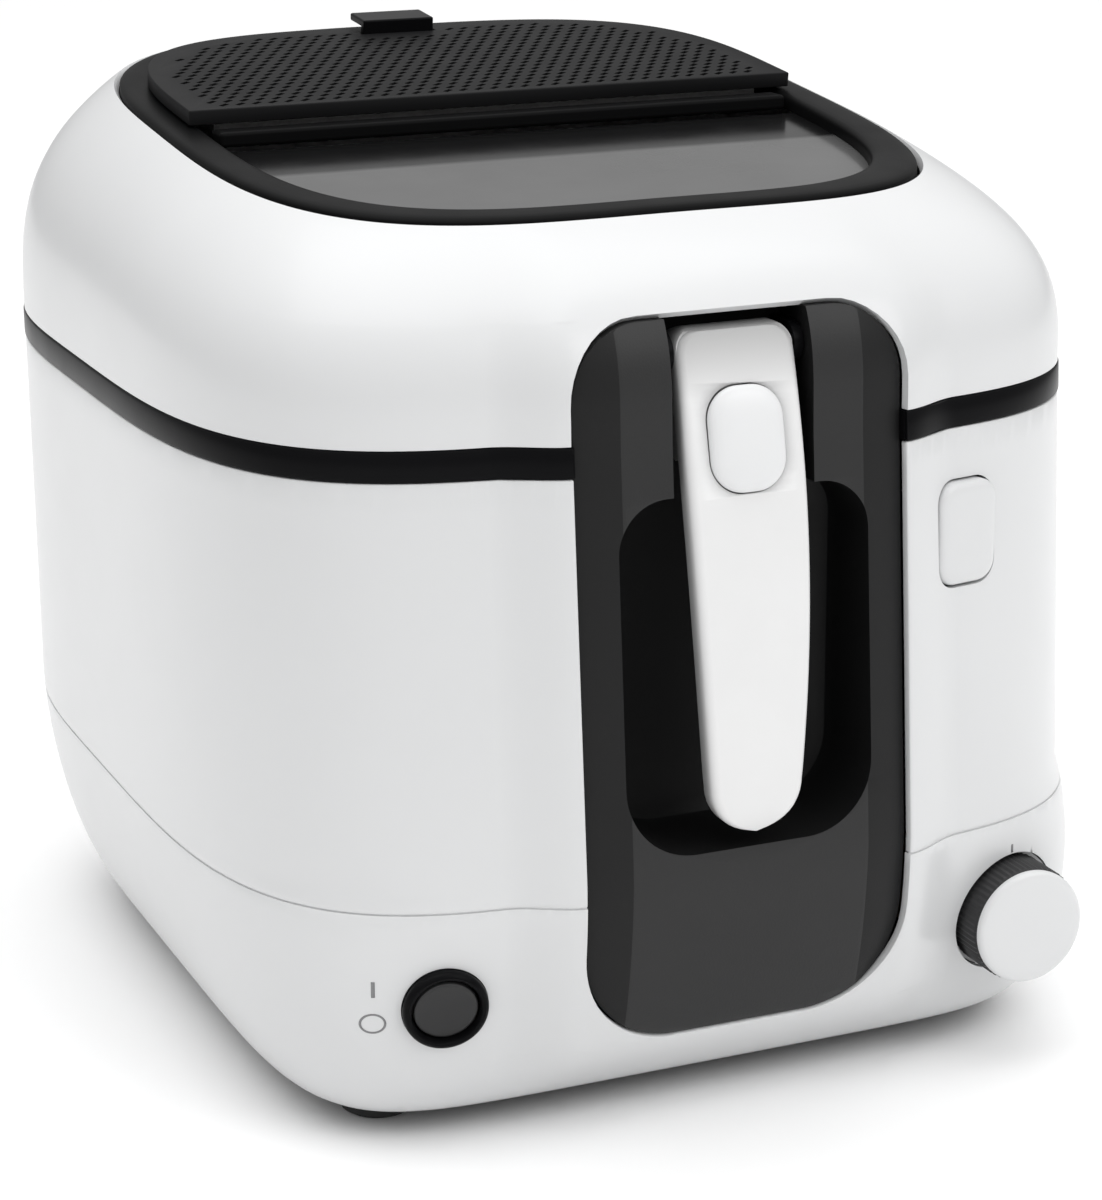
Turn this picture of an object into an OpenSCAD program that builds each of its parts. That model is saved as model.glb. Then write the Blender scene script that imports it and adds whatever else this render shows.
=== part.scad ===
// Household deep fryer: tapered body, domed lid with window and filter cover,
// front tower with a fold-up basket handle, thermostat knob and power switch.
// +Z is up, the front faces -Y, and the origin is under the middle of the whole
// fryer on the surface it stands on. Millimetres.

/* [Body] */
// Half width of the body at its widest
body_half_w = 135.2; // [130:0.2:142]
// Depth from the middle of the bowl to the front wall at the lower seam
front_depth = 171.3; // [167:0.1:176]
// Depth from the middle of the bowl to the rear wall
rear_depth = 133; // [128:1:138]
// Height of the underside of the base shell
base_z = 7; // [6:0.5:8]
// Height of the seam between base shell and body shell
lower_seam_z = 71; // [69:0.5:73]
// Height of the seam under the lid
lid_seam_z = 194; // [192:0.5:196]
// Height of the black rim band
band_h = 8; // [7:0.5:9]
// Wall thickness of the plastic shells
wall = 2.5; // [2:0.1:3]

/* [Lid] */
// Half width of the black lid frame
frame_half_w = 106; // [103:0.5:108]
// Depth from the middle of the bowl to the frame's front edge
frame_front = 133; // [131:0.5:135]
// Depth from the middle of the bowl to the frame's rear edge
frame_rear = 106; // [104:0.5:108]
// Height of the frame over the middle of the bowl
frame_z = 259; // [257:0.5:261]

/* [Front tower] */
// Half width of the dark front panel
panel_half_w = 47.6; // [46:0.2:49]
// Height of the panel's lower edge
panel_bottom = 27; // [26:0.5:30]
// Height of the panel's upper edge
panel_top = 224; // [220:0.5:226]
// How far the body flares forward beside the panel
flare_d = 7; // [5:0.5:8]
// Width of the flare on each side of the panel
flare_w = 21; // [16:1:22]

/* [Handle and basket] */
// Half width of the handle at its top
handle_half_w = 17.2; // [16:0.1:17.2]
// Height of the handle pivot
pivot_z = 214; // [213:0.5:215]
// Half width of the basket
basket_half_w = 90; // [80:1:94]

/* [Controls] */
// Radius of the thermostat knob
knob_r = 17; // [15:0.5:18]
// Sideways place of the thermostat knob
knob_x = 88.4; // [87:0.2:90]
// Height of the thermostat knob
knob_z = 42.2; // [41:0.2:43]
// Radius of the power switch
switch_r = 11.7; // [11:0.1:13]

/* [Placement] */
// Distance from the middle of the whole fryer back to the middle of its bowl
setback = 17.3; // [16:0.1:19]

/* [Hidden] */

fine = 96;          // points round an outer outline
coarse = 64;        // points round an inner outline
gap = 0.3;          // clearance between neighbouring pieces
far = 400;          // longer than the whole body
taper_z = 77;       // height at which the body is widest
swell_power = 1.75; // how quickly the side swells out above the foot
foot_half_w = 111.8;
foot_front = 150.6;
foot_rear = 112;
seam_half_w = 135;
seam_front = 162.9;
body_n = 4.13;      // squareness of the body outline, front and rear
rear_n = 3.4;
foot_n = 7.4;
frame_n = 3.3;
frame_slope = 0.10; // rise of the lid top per millimetre towards the rear
frame_arch = 0.00028;
band_z = lid_seam_z - band_h;
hinge_y = rear_depth + 7.5;
hinge_z = lid_seam_z + 4;
hinge_pin_r = 3;
pivot_y = -158.3;
pivot_r = 2.5;
tower_back = -146;
panel_r = 20;       // radius of the panel's upper corners
panel_low_r = 29;   // radius of its lower corners
grip_half_w = 36.5; // half width, lower and upper edge and corner radius of the grip's hollow
grip_low = 81;
grip_high = 178;
grip_r = 14;
grip_low_r = 20;
slot_half = 20.5;   // half width of the slot round the handle's upper end
bowl_half_w = 112;
bowl_front = 136;
bowl_rear = 112;
bowl_floor = 60;
basket_front = 108;
basket_floor = 80;
basket_top = 172;
button_x = 71.5;
button_y = -162.6;
button_z = 156.5;
button_tilt = 10;
handle_face = -181.2; // foremost point of the handle
grip_at = [0, -171.8, 192.2]; // middle of the handle button on the handle's face
grip_lean = -12;
latch_y = -149.5;
latch_z = button_z + 14;
catch_z = button_z + 26.6; // underside of the latch nose
knob_face_y = -176;
knob_depth = 16;
switch_at = [-84.2, -163.5, 44.3];
switch_turn = -10;
switch_tilt = 8;
gland_x = -50;
gland_z = 30;
gland_r = 3.6;
cover_y = -4.3;
cover_z = 258;
cover_t = 4.4;      // thickness of the filter cover

// ---- outlines ----
function clamp01(u) = min(1, max(0, u));
function smooth01(u) = let (v = clamp01(u)) v * v * (3 - 2 * v);
function mix(a, b, u) = a + (b - a) * u;

// Squared oval: half width, depth to the front and to the rear, and the squareness of each half.
function oval_point(t, half_w, front, rear, n_front, n_rear) =
    let (c = cos(t), s = sin(t),
         n = s < 0 ? n_front : n_rear,
         depth = s < 0 ? front : rear,
         r = pow(pow(abs(c), n) + pow(abs(s), n), -1 / n))
    [half_w * r * c, depth * r * s];
function oval(half_w, front, rear, n_front, n_rear, count) =
    [for (i = [0:count - 1]) oval_point(360 * i / count, half_w, front, rear, n_front, n_rear)];
function raised(points, z) = [for (p = points) [p[0], p[1], z]];

// The wall swells forward in a soft lip on each side of the front panel.
function flare_at(x, amount) =
    amount * flare_d * smooth01((panel_half_w + flare_w - abs(x)) / flare_w);
function flared(points, amount) =
    [for (p = points) [p[0], p[1] < 0 ? p[1] - flare_at(p[0], amount) : p[1]]];

// Size of the body at a height: it swells from the foot and then tapers slightly to the lid.
function swell(z) =
    let (u = clamp01((z - base_z) / (taper_z - base_z)))
    pow(1 - pow(1 - u, swell_power), 1 / swell_power);
function rise(z) = clamp01((z - taper_z) / (lid_seam_z - taper_z));
function half_w_at(z) = z < taper_z ? mix(foot_half_w, body_half_w, swell(z))
                                    : mix(body_half_w, seam_half_w, rise(z));
function front_at(z) = z < taper_z ? mix(foot_front, front_depth, swell(z))
                                   : mix(front_depth, seam_front, rise(z));
function rear_at(z) = z < taper_z ? mix(foot_rear, rear_depth, swell(z)) : rear_depth;
function n_at(z) = mix(foot_n, body_n, clamp01((z - base_z) / (taper_z - base_z)));
function lip_at(z) = smooth01((z - base_z) / 22);
function body_ring(z, inset) =
    raised(flared(oval(half_w_at(z) - inset, front_at(z) - inset, rear_at(z) - inset,
                       n_at(z), rear_n, fine), lip_at(z)), z);

// Lid dome: from the seam outline to the frame outline, u runs from 0 to 90 degrees.
function lid_top_at(p) = frame_z + frame_slope * p[1] - frame_arch * p[0] * p[0];
function lid_ring(u, inset, start_z, drop) =
    let (low = flared(oval(seam_half_w - inset, seam_front - inset, rear_depth - inset,
                           body_n, rear_n, fine), 1),
         high = oval(frame_half_w - inset * 0.4, frame_front - inset * 0.4, frame_rear - inset * 0.4,
                     frame_n, rear_n, fine),
         across = pow(sin(u), 2), up = pow(sin(u), 0.637))
    [for (i = [0:fine - 1])
        let (x = mix(low[i][0], high[i][0], across), y = mix(low[i][1], high[i][1], across))
        [x, y, mix(start_z, lid_top_at(high[i]) - drop, up)]];
function frame_ring(inset, drop) =
    [for (p = oval(frame_half_w - inset, frame_front - inset, frame_rear - inset, frame_n, rear_n, fine))
        [p[0], p[1], lid_top_at(p) - drop]];

// Front face of the panel, level with the lips of the body and the lid beside it.
function lid_front_at(z) =
    let (height = frame_z - frame_slope * frame_front - lid_seam_z,
         s = clamp01((z - lid_seam_z) / height))
    mix(seam_front, frame_front, pow(s, 3.14));
function face_y(z) = -(z < lid_seam_z ? front_at(z) : lid_front_at(z)) - flare_d * lip_at(z) + 0.5;

// ---- solids from outlines ----
function ring_faces(a, b, count) =
    [for (i = [0:count - 1], h = [0, 1])
        let (j = (i + 1) % count)
        h == 0 ? [a * count + i, b * count + i, b * count + j]
               : [a * count + i, b * count + j, a * count + j]];

// A closed skin through rings that return to the first one: a wall with thickness.
module wall_through(rings) {
    count = len(rings[0]);
    last = len(rings);
    polyhedron(points = [for (r = rings) each r],
               faces = [for (k = [0:last - 1]) each ring_faces(k, (k + 1) % last, count)],
               convexity = 8);
}

// A vessel: rings from the outer bottom over the edge to the inner bottom, both ends flat.
module vessel_through(rings) {
    count = len(rings[0]);
    last = len(rings) - 1;
    polyhedron(points = [for (r = rings) each r],
               faces = concat([[for (i = [0:count - 1]) i]],
                              [for (k = [0:last - 1]) each ring_faces(k, k + 1, count)],
                              [[for (i = [count - 1:-1:0]) last * count + i]]),
               convexity = 8);
}

// A rounded rectangle in the X-Z plane, made thick along Y from y0 to y1.
// Its lower corners take the radius low_r where one is given.
module rounded_front(half_w, z0, z1, r, y0, y1, low_r = 0) {
    rl = low_r > 0 ? low_r : r;
    translate([0, y1, 0]) rotate([90, 0, 0]) linear_extrude(y1 - y0) union() {
        translate([-half_w + r, z0 + rl]) square([2 * (half_w - r), z1 - z0 - rl]);
        translate([-half_w + rl, z0]) square([2 * (half_w - rl), z1 - z0 - r]);
        translate([-half_w, z0 + rl]) square([2 * half_w, z1 - z0 - r - rl]);
        for (x = [-half_w + r, half_w - r]) translate([x, z1 - r]) circle(r, $fn = 48);
        for (x = [-half_w + rl, half_w - rl]) translate([x, z0 + rl]) circle(rl, $fn = 64);
    }
}

// A layer behind the panel's face, from depth d0 to depth d1, spanning the panel's width.
module face_layer(d0, d1, z0, z1, half_w) {
    heights = [for (k = [0:8]) mix(z0, z1, k / 8)];
    translate([-half_w, 0, 0]) rotate([90, 0, 90]) linear_extrude(2 * half_w)
        polygon(concat([for (z = heights) [face_y(z) + d0, z]],
                       [for (k = [8:-1:0]) [face_y(heights[k]) + d1, heights[k]]]));
}

module panel_cut(clear) {
    rounded_front(panel_half_w + clear, panel_bottom - clear, panel_top + clear, panel_r + clear,
                  -far / 2, -141, panel_low_r + clear);
}

module y_cylinder(r, y0, y1, x = 0, z = 0) {
    translate([x, y1, z]) rotate([90, 0, 0]) cylinder(r = r, h = y1 - y0, $fn = 64);
}

module x_cylinder(r, half_l, y, z) {
    translate([-half_l, y, z]) rotate([0, 90, 0]) cylinder(r = r, h = 2 * half_l, $fn = 64);
}

module at_switch() {
    translate(switch_at) rotate([0, 0, switch_turn]) rotate([90 + switch_tilt, 0, 0]) children();
}
module at_grip() { translate(grip_at) rotate([grip_lean, 0, 0]) children(); }
module at_button() { translate([button_x, button_y, 0]) rotate([0, 0, button_tilt]) children(); }

foot_places = [[-90, -126], [90, -126], [-84, 82], [84, 82]];
screw_places = [[-55, -112], [55, -112], [-55, 88], [55, 88]];

// ---- housing ----
module base_shell() {
    outer = [base_z, 10, 15, 23, 35, 50, lower_seam_z - gap];
    color("white") difference() {
        wall_through(concat([for (z = outer) body_ring(z, 0)],
                            [for (k = [len(outer) - 1:-1:0]) body_ring(outer[k], wall + 0.5)]));
        panel_cut(gap);
        y_cylinder(knob_r + 1.2, -far / 2, -100, knob_x, knob_z);
        at_switch() union() {
            translate([0, 0, -25]) cylinder(r = switch_r - 1, h = 50, $fn = 64);
            translate([0, 0, 1.2]) cylinder(r = switch_r + gap, h = 25, $fn = 64);
        }
        y_cylinder(6.2, 90, far / 2, gland_x, gland_z);
    }
}

module body_shell() {
    levels = [lower_seam_z, taper_z, 130, band_z - gap];
    color("white") difference() {
        wall_through(concat([for (z = levels) body_ring(z, 0)],
                            [for (k = [3:-1:0]) body_ring(levels[k], wall)]));
        panel_cut(gap);
        at_button() translate([0, 25, 0])
            rounded_front(10.6, button_z - 15.1, button_z + 15.1, 6.6, -60, 0);
    }
}

module rim_ring() {
    deck = oval(bowl_half_w + 1, bowl_front + 1, bowl_rear + 1, body_n, rear_n, fine);
    color("black") difference() {
        wall_through([body_ring(band_z, 0), body_ring(lid_seam_z, 0),
                      raised(deck, lid_seam_z), raised(deck, lid_seam_z - 3),
                      body_ring(lid_seam_z - 3, wall), body_ring(band_z, wall)]);
        panel_cut(gap);
        translate([button_x - 9, -155, lid_seam_z - 10]) cube([18, 16, 20]);
    }
}

module front_panel() {
    floor_t = 2;
    rim_t = 2.6;
    color("dimgray") difference() {
        union() {
            intersection() {
                face_layer(0, 3, panel_bottom - 1, panel_top + 1, panel_half_w + 1);
                rounded_front(panel_half_w, panel_bottom, panel_top, panel_r,
                              -far / 2, -120, panel_low_r);
            }
            intersection() {
                face_layer(1, 14, panel_bottom - 1, panel_top + 1, panel_half_w + 1);
                difference() {
                    rounded_front(panel_half_w - 0.1, panel_bottom + 0.1, panel_top - 0.1, panel_r - 0.1,
                                  -far / 2, -120, panel_low_r - 0.1);
                    rounded_front(panel_half_w - rim_t, panel_bottom + rim_t, panel_top - rim_t,
                                  panel_r - rim_t, -far / 2, -110, panel_low_r - rim_t);
                }
            }
            rounded_front(grip_half_w + floor_t, grip_low - floor_t, grip_high + floor_t, grip_r + floor_t,
                          -168, tower_back, grip_low_r + floor_t);
            translate([-slot_half - floor_t, -166, grip_high - 8])
                cube([2 * (slot_half + floor_t), 19, panel_top - grip_high + 7.5]);
        }
        rounded_front(grip_half_w, grip_low, grip_high, grip_r,
                      -far / 2, tower_back - floor_t, grip_low_r);
        translate([-slot_half, -far / 2, 165]) cube([2 * slot_half, far / 2 - 149, 60]);
    }
}

module bottom_plate() {
    color("dimgray") difference() {
        translate([0, 0, base_z]) linear_extrude(2.5)
            polygon(oval(foot_half_w - 4, foot_front - 4, foot_rear - 4, foot_n, rear_n, coarse));
        for (p = screw_places) translate([p[0], p[1], 0]) cylinder(r = 1.7, h = 20, $fn = 32);
        for (x = [-40:10:40]) translate([x - 2, -30, 0]) cube([4, 60, 20]);
    }
}

module feet() {
    color("black") for (p = foot_places) translate([p[0], p[1], 0]) union() {
        cylinder(r = 9, h = base_z, $fn = 64);
        translate([0, 0, 1]) cylinder(r = 10.5, h = 3, $fn = 64);
    }
}

module bottom_screws() {
    color("silver") for (p = screw_places) translate([p[0], p[1], 0]) union() {
        translate([0, 0, base_z - 1.6]) cylinder(r = 3.4, h = 1.6, $fn = 32);
        translate([0, 0, base_z - 0.5]) cylinder(r = 1.6, h = 12, $fn = 32);
    }
}

module bowl() {
    function bowl_ring(z, inset) =
        raised(oval(mix(92, bowl_half_w - 3, clamp01((z - bowl_floor) / 30)) - inset,
                    mix(114, bowl_front - 3, clamp01((z - bowl_floor) / 30)) - inset,
                    mix(92, bowl_rear - 3, clamp01((z - bowl_floor) / 30)) - inset,
                    body_n, rear_n, coarse), z);
    flange = oval(bowl_half_w, bowl_front, bowl_rear, body_n, rear_n, coarse);
    color("darkslategray") vessel_through([
        bowl_ring(bowl_floor, 0), bowl_ring(70, 0), bowl_ring(90, 0), bowl_ring(lid_seam_z - 2.5, 0),
        raised(flange, lid_seam_z - 2.5), raised(flange, lid_seam_z - 0.5), bowl_ring(lid_seam_z - 0.5, 2),
        bowl_ring(91, 2), bowl_ring(72, 2), bowl_ring(bowl_floor + 2.5, 2)]);
}

module heating_element() {
    color("silver") translate([0, -10, bowl_floor - 4.2]) union() {
        rotate([0, 0, 105]) rotate_extrude(angle = 330, $fn = 96) translate([70, 0]) circle(3.5, $fn = 32);
        for (a = [105, 75]) rotate([0, 0, a]) translate([70, 0, -14]) cylinder(r = 2.2, h = 14, $fn = 32);
    }
}

module heat_shield() {
    color("lightgray") difference() {
        translate([0, -10, 36]) cylinder(r = 88, h = 1.2, $fn = 96);
        translate([knob_x, -140, 30]) cylinder(r = 30, h = 20, $fn = 64);
        for (x = [-60, 60]) translate([x, -10, 30]) cylinder(r = 4, h = 20, $fn = 32);
    }
}

module thermostat() {
    color("tan") union() {
        translate([knob_x - 15, -146, knob_z - 13]) cube([24, 20, 26]);
        translate([knob_x - 3, -126.5, knob_z - 6]) cube([10, 8, 12]);
    }
}

module safety_cutout() {
    color("gray") translate([0, 60, 42]) union() {
        cylinder(r = 9, h = 10, $fn = 48);
        translate([-14, -2.5, 2]) cube([28, 5, 2]);
    }
}

module terminal_block() {
    color("ivory") translate([-70, 60, base_z + 2.5]) difference() {
        cube([36, 16, 12]);
        for (x = [6:12:30]) translate([x, 8, 4]) cylinder(r = 2.5, h = 20, $fn = 32);
    }
}

module knob_bezel() {
    color("white") difference() {
        union() {
            y_cylinder(knob_r + 0.9, -159.4, -156.4, knob_x, knob_z);
            y_cylinder(6, -156.5, -150, knob_x, knob_z);
        }
        y_cylinder(3.3, -far / 2, -100, knob_x, knob_z);
    }
}

module switch_bezel() {
    color("black") at_switch() difference() {
        union() {
            translate([0, 0, -6]) cylinder(r = switch_r - 1.2, h = 8, $fn = 64);
            translate([0, 0, 1.4]) cylinder(r = switch_r, h = 3, $fn = 64);
        }
        translate([0, 0, -10]) cylinder(r = switch_r - 2.4, h = 20, $fn = 64);
    }
}

module switch_body() {
    color("dimgray") at_switch() translate([0, 0, -24]) cylinder(r = switch_r - 2.6, h = 17, $fn = 64);
}

module cord_gland() {
    color("dimgray") difference() {
        union() {
            y_cylinder(6, 112, 128, gland_x, gland_z);
            y_cylinder(9, 127.3, 131.3, gland_x, gland_z);
        }
        y_cylinder(gland_r, 90, 150, gland_x, gland_z);
    }
}

module hinge_bracket() {
    color("black") difference() {
        union() {
            translate([-40, rear_depth + 0.6, 166]) cube([80, 6, 20]);
            for (x = [-40, 31]) {
                translate([x, rear_depth + 1.6, 166]) cube([9, 12, hinge_z - 166]);
                translate([x, hinge_y, hinge_z]) rotate([0, 90, 0]) cylinder(r = 6, h = 9, $fn = 64);
            }
        }
        x_cylinder(hinge_pin_r, 60, hinge_y, hinge_z);
        for (x = [-18, 18]) y_cylinder(2, 120, 160, x, 176);
    }
}

module hinge_screws() {
    color("silver") for (x = [-18, 18]) union() {
        y_cylinder(1.9, rear_depth + 0.8, rear_depth + 7.5, x, 176);
        y_cylinder(3.6, rear_depth + 6.8, rear_depth + 8.8, x, 176);
    }
}

module hinge_pin() { color("silver") x_cylinder(hinge_pin_r, 41, hinge_y, hinge_z); }

module latch_bracket() {
    color("dimgray") difference() {
        for (x = [button_x - 9, button_x + 7]) translate([x, -154, latch_z - 6]) cube([2, 12, 22]);
        x_cylinder(1.5, 100, latch_y, latch_z);
    }
}

module latch_pin() {
    color("silver") translate([button_x - 9.5, latch_y, latch_z]) rotate([0, 90, 0])
        cylinder(r = 1.5, h = 19, $fn = 64);
}

module handle_bracket() {
    color("black") difference() {
        union() for (x = [-20.2, 17.5]) {
            translate([x, pivot_y, pivot_z - 5.5]) cube([2.7, -149.2 - pivot_y, 11]);
            translate([x, pivot_y, pivot_z]) rotate([0, 90, 0]) cylinder(r = 5.5, h = 2.7, $fn = 64);
        }
        x_cylinder(pivot_r, 40, pivot_y, pivot_z);
    }
}

module handle_pin() { color("silver") x_cylinder(pivot_r, 20.2, pivot_y, pivot_z); }

// ---- lid ----
module lid_shell() {
    steps = [0, 6, 14, 26, 40, 56, 72, 90];
    start = lid_seam_z + gap;
    color("white") difference() {
        wall_through(concat([for (u = steps) lid_ring(u, 0, start, 0)],
                            [for (k = [len(steps) - 1:-1:0]) lid_ring(steps[k], wall, start, wall)]));
        panel_cut(1.2);
    }
}

// The frame's broad inner edge, wider at the front than at the rear.
function frame_inner(rise_z) =
    [for (p = oval(frame_half_w - 13, frame_front - 14.5, frame_rear - 10, frame_n, rear_n, fine))
        [p[0], p[1], lid_top_at(p) + rise_z]];

module lid_frame() {
    color("black")
        wall_through([frame_ring(1.6, 5), frame_ring(1.6, -0.5), frame_inner(0.5), frame_inner(-3.2)]);
    color("black") intersection() {
        translate([-far / 2, -14, frame_z - 7]) cube([far, 9, 4.5]);
        linear_extrude(far) polygon(oval(frame_half_w - 13.4, frame_front - 14, frame_rear - 10,
                                         frame_n, rear_n, coarse));
    }
}

// Flat sheet inside the frame's opening, tilted with the lid's top.
module tilted_sheet(inset, y0, y1, drop, thick) {
    translate([0, 0, frame_z - drop]) rotate([atan(frame_slope), 0, 0])
        linear_extrude(thick) intersection() {
            polygon(oval(frame_half_w - inset, frame_front - inset, frame_rear - inset,
                         frame_n, rear_n, coarse));
            translate([-far / 2, y0]) square([far, y1 - y0]);
        }
}

module window_seal() {
    color("black") difference() {
        tilted_sheet(10.6, -far / 2, -15, 11.5, 2);
        tilted_sheet(16, -far / 2, -20, 13, 8);
    }
}

module window_pane() { color([0.25, 0.25, 0.27, 0.6]) tilted_sheet(11, -far / 2, -15.4, 9.3, 3); }

module lid_liner() {
    outer = oval(118, 142, 118, body_n, rear_n, coarse);
    inner = oval(108, 132, 108, body_n, rear_n, coarse);
    top_out = oval(94, 121, 94, frame_n, rear_n, coarse);
    top_in = oval(91, 118, 91, frame_n, rear_n, coarse);
    color("silver") difference() {
        wall_through([raised(outer, 198), raised(outer, 200), raised(top_out, 231), raised(top_in, 231),
                      raised(inner, 198)]);
        translate([-51, -200, 150]) cube([102, 62, 100]);
        translate([-12, -200, 150]) cube([24, 84, 100]);
    }
}

module lid_seal() {
    color("darkgray") difference() {
        wall_through([for (c = [[110, 134, 194.3], [110, 134, 197.7], [114, 138, 197.7], [114, 138, 194.3]])
            raised(oval(c[0], c[1], c[0], body_n, rear_n, coarse), c[2])]);
        translate([-12, -200, 150]) cube([24, 84, 100]);
    }
}

module lid_catch() {
    color("dimgray") difference() {
        translate([button_x - 6, -145, 176]) cube([12, 2.4, 42]);
        translate([button_x - 4, -150, catch_z - 1]) cube([8, 10, 5.8]);
    }
}

module lid_knuckle() {
    color("black") difference() {
        union() {
            translate([-29.5, hinge_y, hinge_z]) rotate([0, 90, 0]) cylinder(r = 5.8, h = 59, $fn = 64);
            translate([-29.5, rear_depth, hinge_z - 1]) cube([59, hinge_y - rear_depth, 6.6]);
        }
        x_cylinder(hinge_pin_r + 0.05, 60, hinge_y, hinge_z);
    }
}

module lid_screws() {
    color("silver") for (x = [-70, 70], y = [-70, 60]) translate([x, y, 0]) union() {
        translate([0, 0, 228]) cylinder(r = 3, h = 1.6, $fn = 32);
        translate([0, 0, 229]) cylinder(r = 1.4, h = 10, $fn = 32);
    }
}

module grease_filter() {
    color("gray") tilted_sheet(18, 2, far, 8.5, 6);
}

// ---- filter cover ----
module cover_outline(inset) {
    intersection() {
        polygon(oval(97 - inset, 97 - inset, 93 - inset, frame_n, rear_n, fine));
        translate([-far / 2, cover_y + inset]) square([far, far]);
    }
}

module filter_cover() {
    color([0.18, 0.18, 0.18]) translate([0, 0, cover_z]) rotate([atan(frame_slope), 0, 0]) difference() {
        linear_extrude(cover_t) cover_outline(0);
        translate([0, 0, -1]) linear_extrude(cover_t - 1) cover_outline(2.5);
        translate([0, 0, 1]) linear_extrude(10) intersection() {
            cover_outline(7);
            for (x = [-84:14:84], k = [0:4])
                translate([x + (k % 2) * 7, 8 + 17 * k]) rotate([0, 0, 35]) square([9, 3.5]);
        }
        translate([-12.5, 82, 0.8]) cube([25, 30, 10]);
    }
}

module cover_tab() {
    color("black") translate([0, 0, cover_z]) rotate([atan(frame_slope), 0, 0]) union() {
        translate([-12, 82.4, 1]) cube([24, 3, 6.6]);
        translate([-12, 82.4, 6.2]) cube([24, 13, 2.4]);
    }
}

// ---- handle ----
// Half width and front face of the handle at a height: it follows the curve of the panel.
function handle_half(z) = handle_half_w - 4 * pow(max(0, 190 - z) / 95, 2);
function handle_front(z) = handle_face + 15.5 * pow(max(0, z - 90) / 122, 2.4);

// Rounded bar section at a height, from its front face back to a depth.
function bar_section(half, front, back, r_front, r_back, z) =
    [for (c = [[half - r_front, front + r_front, r_front, 270],
               [half - r_back, back - r_back, r_back, 0],
               [-half + r_back, back - r_back, r_back, 90],
               [-half + r_front, front + r_front, r_front, 180]],
          k = [0:4])
        let (a = c[3] + 22.5 * k)
        [c[0] + c[2] * cos(a), c[1] + c[2] * sin(a), z]];

// Heights up the handle with the half width there: a round lower end and rounded upper corners.
function handle_rows(low, high, shrink) =
    let (tip = 12.6 - shrink, crown = 6, top = high - crown)
    concat([for (a = [30:20:90]) [low + tip - tip * cos(a), tip * sin(a)]],
           [for (k = [1:9]) let (z = mix(low + tip, top, k / 9)) [z, handle_half(z) - shrink]],
           [for (a = [30:30:90]) let (z = top + crown * sin(a))
               [z, handle_half(z) - shrink - crown + crown * cos(a)]]);

module handle_layer(low, high, shrink, depth0, depth1, r_front, r_back) {
    vessel_through([for (row = handle_rows(low, high, shrink))
        bar_section(row[1], handle_front(row[0]) + depth0, handle_front(row[0]) + depth1,
                    r_front, r_back, row[0])]);
}

module handle_shell() {
    color("white") difference() {
        union() {
            handle_layer(86, 219.8, 0, 0, 7, 2.6, 0.8);
            intersection() {
                hull() {
                    x_cylinder(6.5, handle_half_w - 0.3, pivot_y, pivot_z);
                    x_cylinder(4, handle_half_w - 0.3, handle_front(190) + 7, 190);
                }
                rounded_front(handle_half_w - 0.3, 150, 220.5, 6, -200, -100);
            }
        }
        at_grip() translate([0, 4, 0]) rounded_front(11.2, -14.4, 14.4, 7.2, -20, 0);
        x_cylinder(pivot_r + 0.05, 40, pivot_y, pivot_z);
    }
}

module handle_back() {
    color("gainsboro") handle_layer(88, 186, 1.2, 7.4, 11, 0.4, 2.4);
}

module handle_button() {
    color("white") at_grip() rounded_front(10.8, -14, 14, 6.8, -2, 1);
}

// ---- basket ----
function basket_oval(inset) =
    oval(basket_half_w - inset, basket_front - inset, basket_half_w - inset, body_n, rear_n, coarse);

module basket_mesh() {
    function level(z, inset) = raised(
        oval(mix(82, basket_half_w, (z - basket_floor) / 92) - inset,
             mix(98, basket_front, (z - basket_floor) / 92) - inset,
             mix(82, basket_half_w, (z - basket_floor) / 92) - inset, body_n, rear_n, coarse), z);
    color("silver") vessel_through([
        level(basket_floor, 6), level(basket_floor + 6, 0), level(basket_top, 0), level(basket_top, 1.6),
        level(basket_floor + 7, 1.6), level(basket_floor + 1.6, 7)]);
}

module basket_rim() {
    color("silver") wall_through([for (c = [[0, 1], [0, 4], [3.4, 4], [3.4, 1]])
        raised(basket_oval(c[0] - 1), basket_top - 1 + c[1])]);
}

module basket_arm() {
    color("silver") union() {
        translate([-8, -112.8, basket_top - 22]) cube([16, 2.4, 48]);
        translate([-8, -144.6, 195.6]) cube([16, 34.2, 2.4]);
        translate([-8, -144.6, 186]) cube([16, 2.4, 12]);
    }
}

// ---- controls ----
module lid_button() {
    color("white") at_button() union() {
        rounded_front(10, button_z - 14.5, button_z + 14.5, 6, -2, 3);
        y_cylinder(3, 2.8, 10.5, 0, button_z);
    }
}

module lid_latch() {
    color("dimgray") difference() {
        union() {
            translate([button_x - 6, -150.6, button_z - 4]) cube([12, 2.6, 36]);
            translate([button_x - 3.4, -150.6, catch_z]) cube([6.8, 8, 2.4]);
            translate([button_x - 6.6, latch_y, latch_z]) rotate([0, 90, 0])
                cylinder(r = 3.6, h = 13.2, $fn = 64);
        }
        x_cylinder(1.55, 100, latch_y, latch_z);
    }
}

module knob_skirt() {
    color("dimgray") difference() {
        union() {
            y_cylinder(knob_r, knob_face_y + 1.5, knob_face_y + knob_depth, knob_x, knob_z);
            y_cylinder(knob_r - 1.2, knob_face_y + 1, knob_face_y + 2, knob_x, knob_z);
        }
        y_cylinder(3, -far / 2, -100, knob_x, knob_z);
    }
}

module knob_cap() {
    color("gainsboro") y_cylinder(knob_r - 0.4, knob_face_y - 1.6, knob_face_y + 1, knob_x, knob_z);
}

module knob_shaft() { color("silver") y_cylinder(3, knob_face_y + 1, -146.3, knob_x, knob_z); }

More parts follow.
